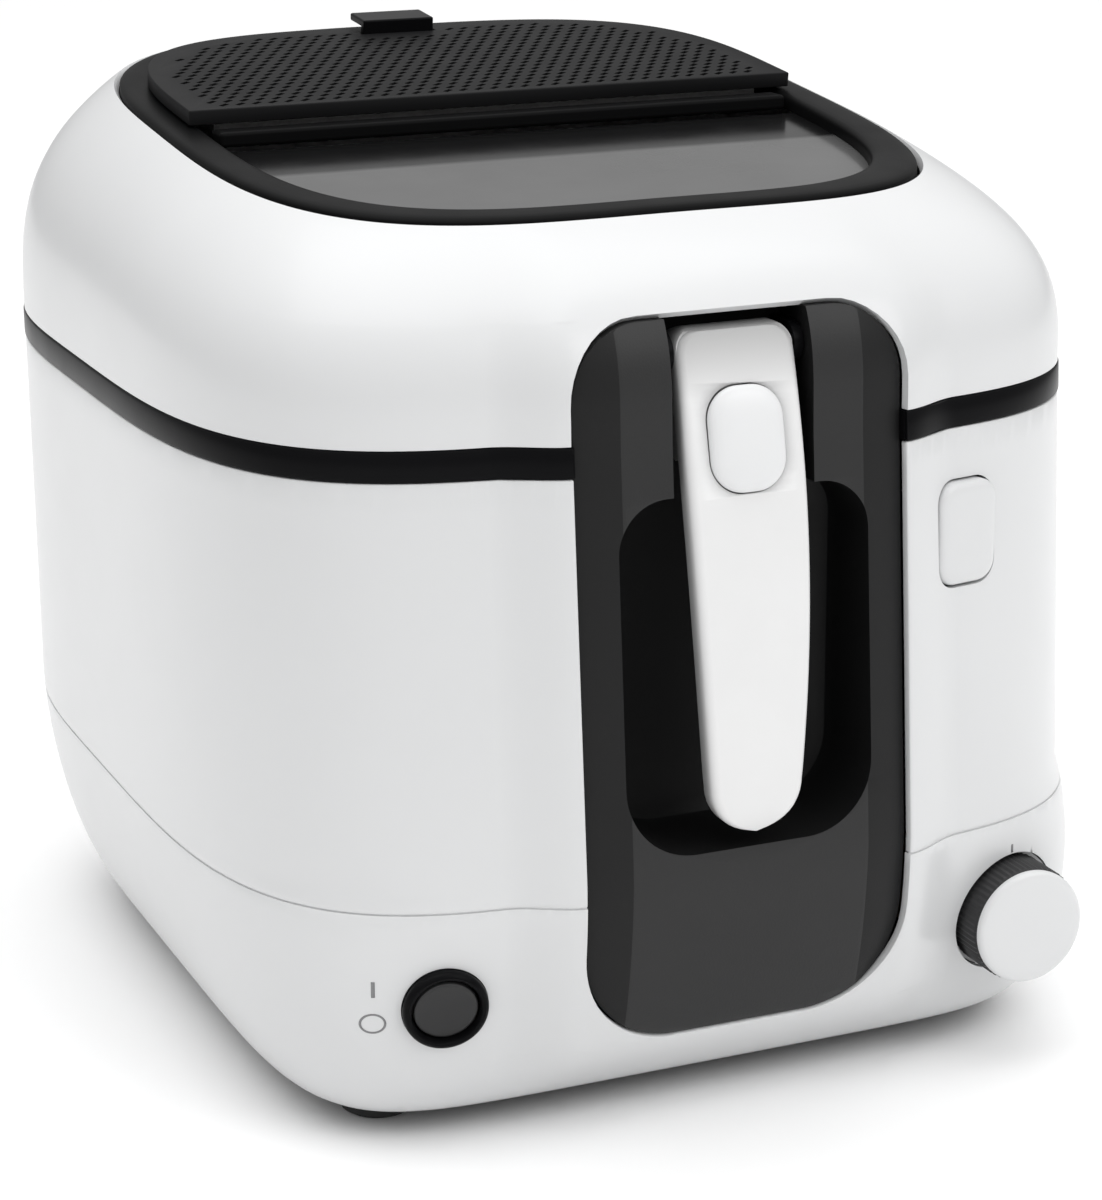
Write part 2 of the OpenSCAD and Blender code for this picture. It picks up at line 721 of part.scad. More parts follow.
module switch_rocker() {
    color("black") at_switch() rotate([4, 0, 0]) difference() {
        translate([0, 0, -4]) cylinder(r = switch_r - 2.8, h = 7, $fn = 64);
        translate([0, 0, 28.5]) sphere(r = 27, $fn = 96);
    }
}

// The modules are drawn about the middle of the bowl.
module placed() { translate([0, setback, 0]) children(); }

placed() base_shell();
placed() body_shell();
placed() rim_ring();
placed() front_panel();
placed() bottom_plate();
placed() feet();
placed() bottom_screws();
placed() bowl();
placed() heating_element();
placed() heat_shield();
placed() thermostat();
placed() safety_cutout();
placed() terminal_block();
placed() knob_bezel();
placed() switch_bezel();
placed() switch_body();
placed() cord_gland();
placed() hinge_bracket();
placed() hinge_screws();
placed() hinge_pin();
placed() latch_bracket();
placed() latch_pin();
placed() handle_bracket();
placed() handle_pin();
placed() lid_shell();
placed() lid_frame();
placed() window_pane();
placed() window_seal();
placed() lid_liner();
placed() lid_seal();
placed() lid_catch();
placed() lid_knuckle();
placed() lid_screws();
placed() grease_filter();
placed() filter_cover();
placed() cover_tab();
placed() handle_shell();
placed() handle_back();
placed() handle_button();
placed() basket_mesh();
placed() basket_rim();
placed() basket_arm();
placed() lid_button();
placed() lid_latch();
placed() knob_skirt();
placed() knob_cap();
placed() knob_shaft();
placed() switch_rocker();
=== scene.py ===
from math import atan, cos, pi, radians, sin, sqrt

import bmesh
import bpy
import numpy as np
from mathutils import Matrix, Vector


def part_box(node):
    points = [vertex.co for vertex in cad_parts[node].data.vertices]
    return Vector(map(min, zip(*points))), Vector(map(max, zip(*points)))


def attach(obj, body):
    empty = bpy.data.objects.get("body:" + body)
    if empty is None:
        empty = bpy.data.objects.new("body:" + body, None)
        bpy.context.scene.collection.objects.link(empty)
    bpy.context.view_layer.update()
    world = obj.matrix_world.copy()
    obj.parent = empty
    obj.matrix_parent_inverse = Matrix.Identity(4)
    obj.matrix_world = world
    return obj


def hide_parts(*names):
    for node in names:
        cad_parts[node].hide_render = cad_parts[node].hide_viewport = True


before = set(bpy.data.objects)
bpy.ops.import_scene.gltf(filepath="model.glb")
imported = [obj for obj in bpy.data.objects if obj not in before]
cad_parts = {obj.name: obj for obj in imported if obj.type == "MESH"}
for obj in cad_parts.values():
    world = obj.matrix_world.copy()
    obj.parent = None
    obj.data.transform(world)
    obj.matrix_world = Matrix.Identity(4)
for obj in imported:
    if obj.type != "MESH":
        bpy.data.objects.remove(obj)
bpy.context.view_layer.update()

MM = 0.001
scene = bpy.context.scene

# ---------------------------------------------------------------- driving sizes, millimetres
WALL = 2.5
BASE_Z, LOWER_SEAM, TAPER_Z = 7.0, 71.0, 77.0
SEAM_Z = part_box("rim_ring")[1].z / MM            # top of the black band
BAND_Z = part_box("rim_ring")[0].z / MM
PANEL_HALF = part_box("front_panel")[1].x / MM
PANEL_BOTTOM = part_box("front_panel")[0].z / MM
PANEL_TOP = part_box("front_panel")[1].z / MM
PANEL_ROUND, PANEL_LOW_ROUND = 20.0, 29.0          # radii of the panel's upper and lower corners
FLARE, FLARE_WIDTH = 7.0, 21.0
FOOT = (111.8, 150.6, 112.0)                     # half width, depth to the front, depth to the rear
WIDEST = (135.2, 171.3, 133.0)
SEAM = (135.0, 162.9, 133.0)
BODY_N, REAR_N, FOOT_N, FRAME_N = 4.13, 3.4, 7.4, 3.3
FRAME = (106.0, 133.0, 106.0)
FRAME_Z, FRAME_SLOPE, FRAME_ARCH = 259.0, 0.10, 0.00028
LID_GAP = 0.3
SETBACK = 17.3                                   # the rules below are drawn about the middle of the bowl


# ---------------------------------------------------------------- outline rules, as in the CAD model
def smooth01(u):
    v = np.clip(u, 0, 1)
    return v * v * (3 - 2 * v)


def mix(a, b, u):
    return a + (b - a) * u


def oval(t, size, n_front, n_rear, inset=0.0):
    """Squared oval at angles t (radians): wide half width, front and rear depth."""
    c, s = np.cos(t), np.sin(t)
    n = np.where(s < 0, n_front, n_rear)
    depth = np.where(s < 0, size[1] - inset, size[2] - inset)
    r = (np.abs(c) ** n + np.abs(s) ** n) ** (-1 / n)
    return (size[0] - inset) * r * c, depth * r * s


def flare(x, y, amount):
    lip = amount * FLARE * smooth01((PANEL_HALF + FLARE_WIDTH - np.abs(x)) / FLARE_WIDTH)
    return np.where(y < 0, y - lip, y)


def swell(z):
    u = np.clip((z - BASE_Z) / (TAPER_Z - BASE_Z), 0, 1)
    return (1 - (1 - u) ** 1.75) ** (1 / 1.75)


def body_size(z):
    """Half width, front and rear depth and squareness of the body at height z."""
    if z < TAPER_Z:
        size = tuple(mix(a, b, swell(z)) for a, b in zip(FOOT, WIDEST))
    else:
        size = tuple(mix(a, b, (z - TAPER_Z) / (SEAM_Z - TAPER_Z)) for a, b in zip(WIDEST, SEAM))
    return size, mix(FOOT_N, BODY_N, min(1, max(0, (z - BASE_Z) / (TAPER_Z - BASE_Z))))


def body_points(z, t, inset=0.0):
    size, n = body_size(z)
    x, y = oval(t, size, n, REAR_N, inset)
    return np.stack([x, flare(x, y, smooth01((z - BASE_Z) / 22)), np.full_like(x, z)], -1)


def lid_top(x, y):
    return FRAME_Z + FRAME_SLOPE * y - FRAME_ARCH * x * x


def lid_points(u, t, inset=0.0):
    """The dome: u runs from 0 at the seam to pi/2 at the frame."""
    x0, y0 = oval(t, SEAM, BODY_N, REAR_N, inset)
    y0 = flare(x0, y0, 1.0)
    x1, y1 = oval(t, FRAME, FRAME_N, REAR_N, inset * 0.4)
    across, up = sin(u) ** 2, sin(u) ** 0.637
    low = SEAM_Z + LID_GAP
    return np.stack([mix(x0, x1, across), mix(y0, y1, across), mix(low, lid_top(x1, y1), up)], -1)


def notch_half(z, grow):
    """Half width of the panel's rounded outline at height z, grown by a clearance."""
    above, below = PANEL_TOP + grow - z, z - (PANEL_BOTTOM - grow)
    half, d = PANEL_HALF + grow, min(above, below)
    r = grow + (PANEL_ROUND if above < below else PANEL_LOW_ROUND)
    if d <= 0:
        return 0.0
    return half if d >= r else half - r + sqrt(max(0.0, r * r - (r - d) ** 2))


def face_y(z):
    """Front face of the dark panel, level with the lips of the body and the lid."""
    front = body_size(z)[0][1]
    if z > SEAM_Z:
        s = min(1.0, (z - SEAM_Z) / (lid_top(0, -FRAME[1]) - SEAM_Z))
        front = mix(SEAM[1], FRAME[1], s ** 3.14)
    return -front - FLARE * float(smooth01((z - BASE_Z) / 22)) + 0.5


def front_y(x, z):
    """Front wall of the body or base at a place."""
    (half, front, _), n = body_size(z)
    y = -front * (1 - (abs(x) / half) ** n) ** (1 / n)
    return float(flare(np.float64(x), np.float64(y), smooth01((z - BASE_Z) / 22)))


# ---------------------------------------------------------------- mesh helpers
def placed(v):
    """A drawn point in millimetres as a point of the shared frame in metres."""
    return float(v[0]) * MM, (float(v[1]) + SETBACK) * MM, float(v[2]) * MM


def close_mesh(mesh):
    """Merges repeated points and turns a closed mesh's faces outwards."""
    bm = bmesh.new()
    bm.from_mesh(mesh)
    bmesh.ops.remove_doubles(bm, verts=bm.verts, dist=2e-6)
    bmesh.ops.recalc_face_normals(bm, faces=bm.faces)
    bm.to_mesh(mesh)
    bm.free()


def piece(name, verts, faces, body, replaces=(), slot=None, material=None, smooth=True, closed=False):
    """A mesh from points in millimetres, riding on a CAD body."""
    mesh = bpy.data.meshes.new(name)
    mesh.from_pydata([placed(v) for v in verts], [], [tuple(f) for f in faces])
    mesh.validate()
    if closed:
        close_mesh(mesh)
    mesh.update()
    if smooth:
        mesh.shade_smooth()
    obj = bpy.data.objects.new(name, mesh)
    scene.collection.objects.link(obj)
    if material:
        mesh.materials.append(material)
    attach(obj, body)
    if replaces:
        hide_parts(*replaces)
    return obj


def modifier(obj, kind, name, **values):
    m = obj.modifiers.new(name, kind)
    for key, value in values.items():
        setattr(m, key, value)
    return m


def thicken(obj, thickness, edge=0.7, segments=3, angle=48):
    modifier(obj, "SOLIDIFY", "Wall", thickness=thickness * MM, offset=-1, use_even_offset=True)
    modifier(obj, "BEVEL", "Edges", width=edge * MM, segments=segments, limit_method="ANGLE",
             angle_limit=radians(angle), harden_normals=True)
    return obj


def round_edges(obj, width, segments=3, angle=35):
    modifier(obj, "BEVEL", "Edges", width=width * MM, segments=segments, limit_method="ANGLE",
             angle_limit=radians(angle), harden_normals=True)
    return obj


def grid_faces(rows, cols, closed=False, start=0):
    last = cols if closed else cols - 1
    return [(start + r * cols + c, start + r * cols + (c + 1) % cols,
             start + (r + 1) * cols + (c + 1) % cols, start + (r + 1) * cols + c)
            for r in range(rows - 1) for c in range(last)]


def prism_faces(n):
    """Sides and both ends of a prism: one outline of n points, then the other."""
    sides = [(i, (i + 1) % n, n + (i + 1) % n, n + i) for i in range(n)]
    return sides + [tuple(range(n)), tuple(range(n, 2 * n))]


def lathe(profile, count=96):
    """Points and faces of a profile of (radius, height) turned about Z; radius 0 closes an end."""
    verts, rings = [], []
    for r, h in profile:
        if r <= 1e-6:
            rings.append([len(verts)])
            verts.append((0, 0, h))
        else:
            rings.append([len(verts) + i for i in range(count)])
            verts += [(r * cos(2 * pi * i / count), r * sin(2 * pi * i / count), h) for i in range(count)]
    faces = []
    for a, b in zip(rings, rings[1:]):
        for i in range(count):
            j = (i + 1) % count
            if len(a) == 1:
                faces.append((a[0], b[j], b[i]))
            elif len(b) == 1:
                faces.append((a[i], a[j], b[0]))
            else:
                faces.append((a[i], a[j], b[j], b[i]))
    return verts, faces


def rounded_outline(half_w, z0, z1, r, steps=12, low_r=None):
    """Rounded rectangle in X-Z, counter-clockwise seen from the front, low_r for its lower corners."""
    most = min(half_w, (z1 - z0) / 2) - 0.01
    r, low_r = min(r, most), min(low_r or r, most)
    points = []
    for cx, cz, r, start in ((half_w - r, z1 - r, r, 0), (-half_w + r, z1 - r, r, 90),
                             (-half_w + low_r, z0 + low_r, low_r, 180), (half_w - low_r, z0 + low_r, low_r, 270)):
        for k in range(steps + 1):
            a = radians(start + 90 * k / steps)
            points.append((cx + r * cos(a), cz + r * sin(a)))
    return points


def prism_front(outline, y0, y1):
    """A closed prism along Y over an X-Z outline."""
    n = len(outline)
    verts = [(x, y0, z) for x, z in outline] + [(x, y1, z) for x, z in outline]
    faces = [tuple(range(n)), tuple(reversed(range(n, 2 * n)))]
    faces += [((i + 1) % n, i, n + i, n + (i + 1) % n) for i in range(n)]
    return verts, faces


def cutter(name, verts, faces):
    mesh = bpy.data.meshes.new(name)
    mesh.from_pydata([placed(v) for v in verts], [], faces)
    close_mesh(mesh)
    obj = bpy.data.objects.new(name, mesh)
    scene.collection.objects.link(obj)
    return obj


def bake(obj):
    """Applies the object's modifiers to its mesh."""
    bpy.context.view_layer.update()
    graph = bpy.context.evaluated_depsgraph_get()
    mesh = bpy.data.meshes.new_from_object(obj.evaluated_get(graph), depsgraph=graph)
    old = obj.data
    obj.modifiers.clear()
    obj.data = mesh
    bpy.data.meshes.remove(old)
    return obj


def cut(obj, tools):
    """Cuts closed tools out of obj, then removes them."""
    for tool in tools:
        modifier(obj, "BOOLEAN", "Cut", operation="DIFFERENCE", solver="EXACT", object=tool)
    bake(obj)
    for tool in tools:
        bpy.data.objects.remove(tool)
    obj.data.set_sharp_from_angle(angle=radians(38))
    return obj


def transformed(verts, matrix):
    return [tuple(matrix @ Vector(v)) for v in verts]


# ---------------------------------------------------------------- materials
def node_material(name):
    m = bpy.data.materials.new(name)
    m.use_nodes = True
    return m, m.node_tree.nodes, m.node_tree.links, m.node_tree.nodes["Principled BSDF"]


def ramp(nodes, links, source, stops):
    r = nodes.new("ShaderNodeValToRGB")
    while len(r.color_ramp.elements) < len(stops):
        r.color_ramp.elements.new(0.5)
    for e, (p, c) in zip(r.color_ramp.elements, stops):
        e.position, e.color = p, (*c, 1) if len(c) == 3 else c
    links.new(source, r.inputs["Fac"])
    return r


def noise(nodes, links, coords, scale, detail=3.0):
    n = nodes.new("ShaderNodeTexNoise")
    n.inputs["Scale"].default_value = scale
    n.inputs["Detail"].default_value = detail
    links.new(coords, n.inputs["Vector"])
    return n.outputs["Fac"]


def moulded(name, color, rough, grain=900.0, bump=0.03, vary=0.03, rough_vary=0.05, coat=0.0, coat_rough=0.1,
            specular=0.5):
    """Moulded plastic: fine grain in the bump, slow drift in colour and gloss."""
    m, nodes, links, shader = node_material(name)
    coords = nodes.new("ShaderNodeTexCoord").outputs["Object"]
    slow = noise(nodes, links, coords, 14.0, 2.0)
    darker = [c * (1 - vary) for c in color]
    lighter = [min(1, c * (1 + vary)) for c in color]
    tint = ramp(nodes, links, slow, [(0.3, darker), (0.7, lighter)])
    links.new(tint.outputs["Color"], shader.inputs["Base Color"])
    gloss = nodes.new("ShaderNodeMapRange")
    gloss.inputs["To Min"].default_value = max(0.02, rough - rough_vary)
    gloss.inputs["To Max"].default_value = min(1.0, rough + rough_vary)
    links.new(noise(nodes, links, coords, 60.0, 4.0), gloss.inputs["Value"])
    links.new(gloss.outputs["Result"], shader.inputs["Roughness"])
    rise = nodes.new("ShaderNodeBump")
    rise.inputs["Strength"].default_value = bump
    rise.inputs["Distance"].default_value = 0.0004
    links.new(noise(nodes, links, coords, grain, 3.0), rise.inputs["Height"])
    links.new(rise.outputs["Normal"], shader.inputs["Normal"])
    shader.inputs["Coat Weight"].default_value = coat
    shader.inputs["Coat Roughness"].default_value = coat_rough
    shader.inputs["Specular IOR Level"].default_value = specular
    return m


def metal(name, color, rough, brushed=None, bump=0.05, scale=700.0):
    m, nodes, links, shader = node_material(name)
    shader.inputs["Metallic"].default_value = 1.0
    coords = nodes.new("ShaderNodeTexCoord").outputs["Object"]
    if brushed:
        stretch = nodes.new("ShaderNodeMapping")
        stretch.inputs["Scale"].default_value = brushed
        links.new(coords, stretch.inputs["Vector"])
        fine = stretch.outputs["Vector"]
    else:
        fine = coords
    grain = noise(nodes, links, fine, scale, 3.0)
    tint = ramp(nodes, links, grain, [(0.3, [c * 0.88 for c in color]), (0.75, color)])
    links.new(tint.outputs["Color"], shader.inputs["Base Color"])
    gloss = nodes.new("ShaderNodeMapRange")
    gloss.inputs["To Min"].default_value = rough * 0.8
    gloss.inputs["To Max"].default_value = min(1.0, rough * 1.3)
    links.new(grain, gloss.inputs["Value"])
    links.new(gloss.outputs["Result"], shader.inputs["Roughness"])
    rise = nodes.new("ShaderNodeBump")
    rise.inputs["Strength"].default_value = bump
    rise.inputs["Distance"].default_value = 0.0003
    links.new(grain, rise.inputs["Height"])
    links.new(rise.outputs["Normal"], shader.inputs["Normal"])
    return m


def smoked_glass():
    """Smoked glass with a darker printed band along its rear edge."""
    m, nodes, links, shader = node_material("smoked_glass")
    coords = nodes.new("ShaderNodeTexCoord").outputs["Object"]
    split = nodes.new("ShaderNodeSeparateXYZ")
    links.new(coords, split.inputs["Vector"])
    band = nodes.new("ShaderNodeMapRange")
    band.inputs["From Min"].default_value = (WINDOW_BAND_Y + SETBACK - 1.5) * MM
    band.inputs["From Max"].default_value = (WINDOW_BAND_Y + SETBACK + 1.5) * MM
    links.new(split.outputs["Y"], band.inputs["Value"])
    haze = ramp(nodes, links, noise(nodes, links, coords, 25.0, 3.0),
                [(0.3, (0.075,) * 3), (0.7, (0.09,) * 3)])
    mixed = nodes.new("ShaderNodeMix")
    mixed.data_type = "RGBA"
    links.new(band.outputs["Result"], mixed.inputs["Factor"])
    links.new(haze.outputs["Color"], mixed.inputs[6])
    mixed.inputs[7].default_value = (0.006, 0.006, 0.0062, 1)
    links.new(mixed.outputs[2], shader.inputs["Base Color"])
    gloss = nodes.new("ShaderNodeMapRange")
    gloss.inputs["To Min"].default_value = 0.1
    gloss.inputs["To Max"].default_value = 0.18
    links.new(noise(nodes, links, coords, 90.0, 3.0), gloss.inputs["Value"])
    links.new(gloss.outputs["Result"], shader.inputs["Roughness"])
    shader.inputs["Specular IOR Level"].default_value = 0.14
    return m


WINDOW_BAND_Y = -45.0
WHITE = moulded("white_plastic", (0.64, 0.645, 0.65), 0.33, 1100.0, 0.02, 0.012, 0.04, 0.2, 0.15)
HANDLE_WHITE = moulded("handle_white", (0.72, 0.725, 0.73), 0.36, 1300.0, 0.03, 0.012, 0.04)
BLACK = moulded("black_gloss", (0.004, 0.004, 0.0045), 0.3, 900.0, 0.02, 0.1, 0.05, 0.0, 0.06, 0.05)
FRAME_BLACK = moulded("frame_satin", (0.005, 0.005, 0.0052), 0.4, 1200.0, 0.04, 0.08, 0.05, 0.0, 0.1, 0.03)
# painted shade: a darker copy of the panel's colour for its angled side bands
PANEL_SIDE_PAINTED_SHADE = moulded("dark_satin_side_painted_shade", (0.009, 0.009, 0.0092), 0.45, 1600.0, 0.08, 0.05, 0.05, 0.0, 0.1, 0.2)
PANEL = moulded("dark_satin", (0.017, 0.017, 0.0173), 0.42, 1600.0, 0.10, 0.05, 0.05, 0.0, 0.1, 0.3)
# painted shade: a near-black copy of the panel's colour for the grip cavity, standing in for the shade in the
# recess
CAVITY_PAINTED_SHADE = moulded("cavity_walls_painted_shade", (0.006, 0.006, 0.0062), 0.5, 1600.0, 0.08, 0.05, 0.05, 0.0, 0.1, 0.2)
GREY = moulded("grey_plastic", (0.05, 0.05, 0.052), 0.5, 900.0, 0.06, 0.08)
COVER = moulded("cover_plastic", (0.012, 0.012, 0.0125), 0.45, 1400.0, 0.05, 0.08, 0.05, 0.0, 0.1, 0.03)
RUBBER = moulded("foot_rubber", (0.02, 0.02, 0.02), 0.8, 1800.0, 0.2, 0.1)
SEAL = moulded("seal_silicone", (0.1, 0.1, 0.105), 0.6, 1500.0, 0.1, 0.06)
PHENOLIC = moulded("phenolic", (0.32, 0.24, 0.15), 0.55, 800.0, 0.1, 0.12)
NONSTICK = moulded("nonstick", (0.03, 0.03, 0.032), 0.38, 2600.0, 0.12, 0.15)
KNOB_DARK = moulded("knob_grey", (0.025, 0.025, 0.026), 0.45, 1500.0, 0.06, 0.05, 0.05, 0.0, 0.1, 0.3)
KNOB_LIGHT = moulded("knob_silver", (0.66, 0.665, 0.67), 0.32, 1300.0, 0.03, 0.015, 0.04, 0.2)
HANDLE_GREY = moulded("handle_grey", (0.6, 0.605, 0.61), 0.42, 1300.0, 0.04, 0.02)
STEEL = metal("steel", (0.62, 0.61, 0.6), 0.28, (1, 1, 0.05))
ALUMINIUM = metal("bare_aluminium", (0.8, 0.8, 0.8), 0.3, (0.05, 1, 1))
WIRE = metal("basket_wire", (0.78, 0.77, 0.75), 0.16, None, 0.02, 1500.0)
MESH_METAL = metal("filter_mesh", (0.45, 0.45, 0.45), 0.4, None, 0.3, 1200.0)
GLASS = smoked_glass()
ROCKER = moulded("rocker_satin", (0.018, 0.018, 0.0185), 0.4, 1400.0, 0.05, 0.05, 0.05, 0.0, 0.1, 0.35)


# ---------------------------------------------------------------- white shells, rim band and lid dome
COLUMNS, MIDDLE, EDGE_COLUMNS = 200, 28, 16


def angle_at(point, x):
    """Angle on the outline's front right quarter where it reaches x."""
    low, high = -pi / 2, 0.0
    for _ in range(40):
        mid = (low + high) / 2
        if point(np.array([mid]))[0][0] < x:
            low = mid
        else:
            high = mid
    return (low + high) / 2


def column_angles(point, x_cut):
    """Outline angles from the front right round the back to the front left.

    One column follows the flare's end.
    """
    start, knee = angle_at(point, x_cut), angle_at(point, PANEL_HALF + FLARE_WIDTH)
    s = np.linspace(0, 1, COLUMNS - 2 * (EDGE_COLUMNS - 1))
    w = s - 0.8 * np.sin(2 * pi * s) / (2 * pi)
    edge = np.linspace(start, knee, EDGE_COLUMNS)[:-1]
    return np.concatenate([edge, knee + (pi - 2 * knee) * w, (pi - edge)[::-1]])


def shell_grid(rows):
    """rows: (point function of the angle, half width of the front gap, is the row closed in front)."""
    verts, faces, starts, closed_rows = [], [], [], []
    for point, x_cut, closed in rows:
        angles = column_angles(point, x_cut)
        starts.append(len(verts))
        closed_rows.append(closed)
        verts += list(point(angles))
        if closed:
            across = np.linspace(angles[-1], angles[0] + 2 * pi, MIDDLE + 2)[1:-1]
            verts += list(point(across))
    for a, b, closed_a, closed_b in zip(starts, starts[1:], closed_rows, closed_rows[1:]):
        width = COLUMNS + MIDDLE if closed_a and closed_b else COLUMNS
        for c in range(width if width > COLUMNS else width - 1):
            d = (c + 1) % width
            faces.append((a + c, a + d, b + d, b + c))
    return verts, faces


def cut_corner_heights(edge, r, towards, count=9):
    return [edge + towards * r * (1 - cos(pi / 2 * k / count)) for k in range(count + 1)]


def base_skin():
    clear = 0.9
    bottom, r = PANEL_BOTTOM - clear, PANEL_LOW_ROUND + clear
    flat = PANEL_HALF - PANEL_LOW_ROUND
    below = [BASE_Z, BASE_Z + 0.8, 9, 10.5, 12.3, 14.3, 16.5, 18.7, 20.7, 22.5, 24.4, bottom]
    above = cut_corner_heights(bottom, r, 1, 18)[1:] + [58, 61, 64, 67, LOWER_SEAM - 0.35]
    def at(z):
        return lambda t: body_points(z, t)
    rows = [(at(z), flat, True) for z in below] + [(at(z), notch_half(z, clear), False) for z in above]
    obj = piece("base_shell_skin", *shell_grid(rows), "housing", ["base_shell"], "white_plastic", WHITE)
    thicken(obj, WALL, 0.5)
    bake(obj)
    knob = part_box("knob_skirt")
    kx, kz = (knob[0].x + knob[1].x) / 2 / MM, (knob[0].z + knob[1].z) / 2 / MM
    kr = (knob[1].x - knob[0].x) / 2 / MM + 1.2
    hole = [(kx + kr * cos(a), kz + kr * sin(a)) for a in np.linspace(0, 2 * pi, 97)[:-1]]
    tools = [cutter("knob_hole", *prism_front(hole, -200, -120))]
    verts, faces = lathe([(0, -20), (SWITCH_R + 0.15, -20), (SWITCH_R + 0.15, 20), (0, 20)])
    tools.append(cutter("switch_hole", transformed(verts, SWITCH_PLACE), faces))
    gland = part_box("cord_gland")
    gx, gz = (gland[0].x + gland[1].x) / 2 / MM, (gland[0].z + gland[1].z) / 2 / MM
    rear_hole = [(gx + 6.2 * cos(a), gz + 6.2 * sin(a)) for a in np.linspace(0, 2 * pi, 65)[:-1]]
    tools.append(cutter("cord_hole", *prism_front(rear_hole, 100, 160)))
    return cut(obj, tools)


def body_skin():
    heights = [LOWER_SEAM, 72.5, 75, TAPER_Z] + list(np.linspace(84, BAND_Z - 8, 16)) + [BAND_Z - 0.2]
    def at(z):
        return lambda t: body_points(z, t)
    rows = [(at(z), notch_half(z, 0.9), False) for z in heights]
    obj = piece("body_shell_skin", *shell_grid(rows), "housing", ["body_shell"], "white_plastic", WHITE)
    thicken(obj, WALL, 0.5)
    bake(obj)
    verts, faces = prism_front(rounded_outline(10.7, BUTTON_Z - 15.2, BUTTON_Z + 15.2, 6.8), -40, 40)
    return cut(obj, [cutter("button_hole", transformed(verts, BUTTON_PLACE), faces)])


def seam_lip():
    """The tongue of the base shell that shows as the floor of the groove under the body shell."""
    def at(z):
        return lambda t: body_points(z, t, 0.45)
    heights = (LOWER_SEAM - 1.4, LOWER_SEAM - 0.2, LOWER_SEAM + 1.0)
    rows = [(at(z), notch_half(z, 1.0), False) for z in heights]
    thicken(piece("base_shell_tongue", *shell_grid(rows), "housing", [], "white_plastic", WHITE), 1.2, 0.0)


def rim_band():
    def at(z, inset):
        return lambda t: body_points(z, t, inset)
    profile = [(BAND_Z, 2.4), (BAND_Z, 0.0), (BAND_Z + 0.5, -0.25)]
    profile += [(SEAM_Z - 0.5, -0.25), (SEAM_Z, 0.0), (SEAM_Z, 2.4)]
    rows = [(at(z, inset), notch_half(z, 0.9), False) for z, inset in profile]
    band = piece("rim_band", *shell_grid(rows), "housing", [], "black_gloss", BLACK)
    thicken(band, 1.2, 0.25)
    return band


def lid_skin():
    clear = 1.3
    top, r = PANEL_TOP + clear, PANEL_ROUND + clear
    low = SEAM_Z + LID_GAP
    rise = lid_top(0, -FRAME[1]) - low
    def u_at(z):
        return float(np.arcsin(min(1.0, max(0.0, (z - low) / rise)) ** (1 / 0.637)))
    def at(u):
        return lambda t: lid_points(u, t)
    def gap_at(u):
        x = PANEL_HALF
        for _ in range(6):
            t = column_angles(at(u), max(x, 1.0))[0]
            x = notch_half(float(lid_points(u, np.array([t]))[0][2]), clear)
            if x <= 0:
                return PANEL_HALF - PANEL_ROUND
        return x
    sides = [0.0] + [u_at(z) for z in (195.2, 196.6, 198.6, 201)]
    arc = [u_at(z) for z in cut_corner_heights(top, r, -1)[::-1]]
    dome = list(np.linspace(arc[-1], pi / 2, 26))[1:]
    rows = [(at(u), gap_at(u), False) for u in sides + arc[:-1]]
    rows += [(at(u), PANEL_HALF - PANEL_ROUND, True) for u in [arc[-1]] + dome]
    obj = piece("lid_shell_skin", *shell_grid(rows), "lid", ["lid_shell"], "white_plastic", WHITE)
    return thicken(obj, WALL, 0.5)


# ---------------------------------------------------------------- places of the small controls
SWITCH_R = 11.7
SWITCH_AT = Vector((-84.2, -163.5, 44.3))
SWITCH_PLACE = (Matrix.Translation(SWITCH_AT) @ Matrix.Rotation(radians(-10), 4, "Z")
                @ Matrix.Rotation(radians(98), 4, "X"))
BUTTON_X, BUTTON_Y, BUTTON_Z = 71.5, -162.6, 156.5
BUTTON_PLACE = Matrix.Translation((BUTTON_X, BUTTON_Y, 0)) @ Matrix.Rotation(radians(10), 4, "Z")

base_skin()
body_skin()
seam_lip()
rim_band()
lid_skin()


# ---------------------------------------------------------------- dark front panel
CREASE_X, EDGE_FALL = 35.2, 2.6
SLOT_BACK = -149.0


def panel_block(inset, depth, back):
    """Closed block over the panel's outline: curved creased front set back by depth, flat back."""
    low, high = PANEL_BOTTOM + inset, PANEL_TOP - inset
    r, low_r = PANEL_ROUND - inset, PANEL_LOW_ROUND - inset
    heights = cut_corner_heights(low, low_r, 1, 18) + list(np.linspace(low + low_r, high - r, 24))[1:-1]
    heights += cut_corner_heights(high, r, -1, 14)[::-1]
    heights[0] += 1e-3
    heights[-1] -= 1e-3
    columns = [-60, -43, -CREASE_X, 1 - CREASE_X, -24, 0, 24, CREASE_X - 1, CREASE_X, 43, 60]
    verts = []
    for z in heights:
        h = notch_half(z, -inset)
        xs = [min(h, max(-h, x)) for x in columns]
        fall = EDGE_FALL / (PANEL_HALF - CREASE_X)
        verts += [(x, face_y(z) + depth + fall * max(0, abs(x) - CREASE_X), z) for x in xs]
        verts += [(x, back, z) for x in reversed(xs)]
    count = 2 * len(columns)
    faces = grid_faces(len(heights), count, closed=True)
    last = len(verts) - count
    return verts, faces + [tuple(range(count)), tuple(range(last, last + count))]


def front_rings(profile, half_w, z0, z1, r, steps=12, low_r=None):
    """Rounded rectangles facing the front, each (inset, y), joined and closed at both ends."""
    verts = []
    for inset, y in profile:
        outline = rounded_outline(half_w - inset, z0 + inset, z1 - inset, max(0.5, r - inset), steps,
                                  max(0.5, (low_r or r) - inset))
        verts += [(x, y, z) for x, z in outline]
    count = len(verts) // len(profile)
    faces = grid_faces(len(profile), count, closed=True)
    last = len(verts) - count
    return verts, faces + [tuple(range(count)), tuple(range(last, last + count))]


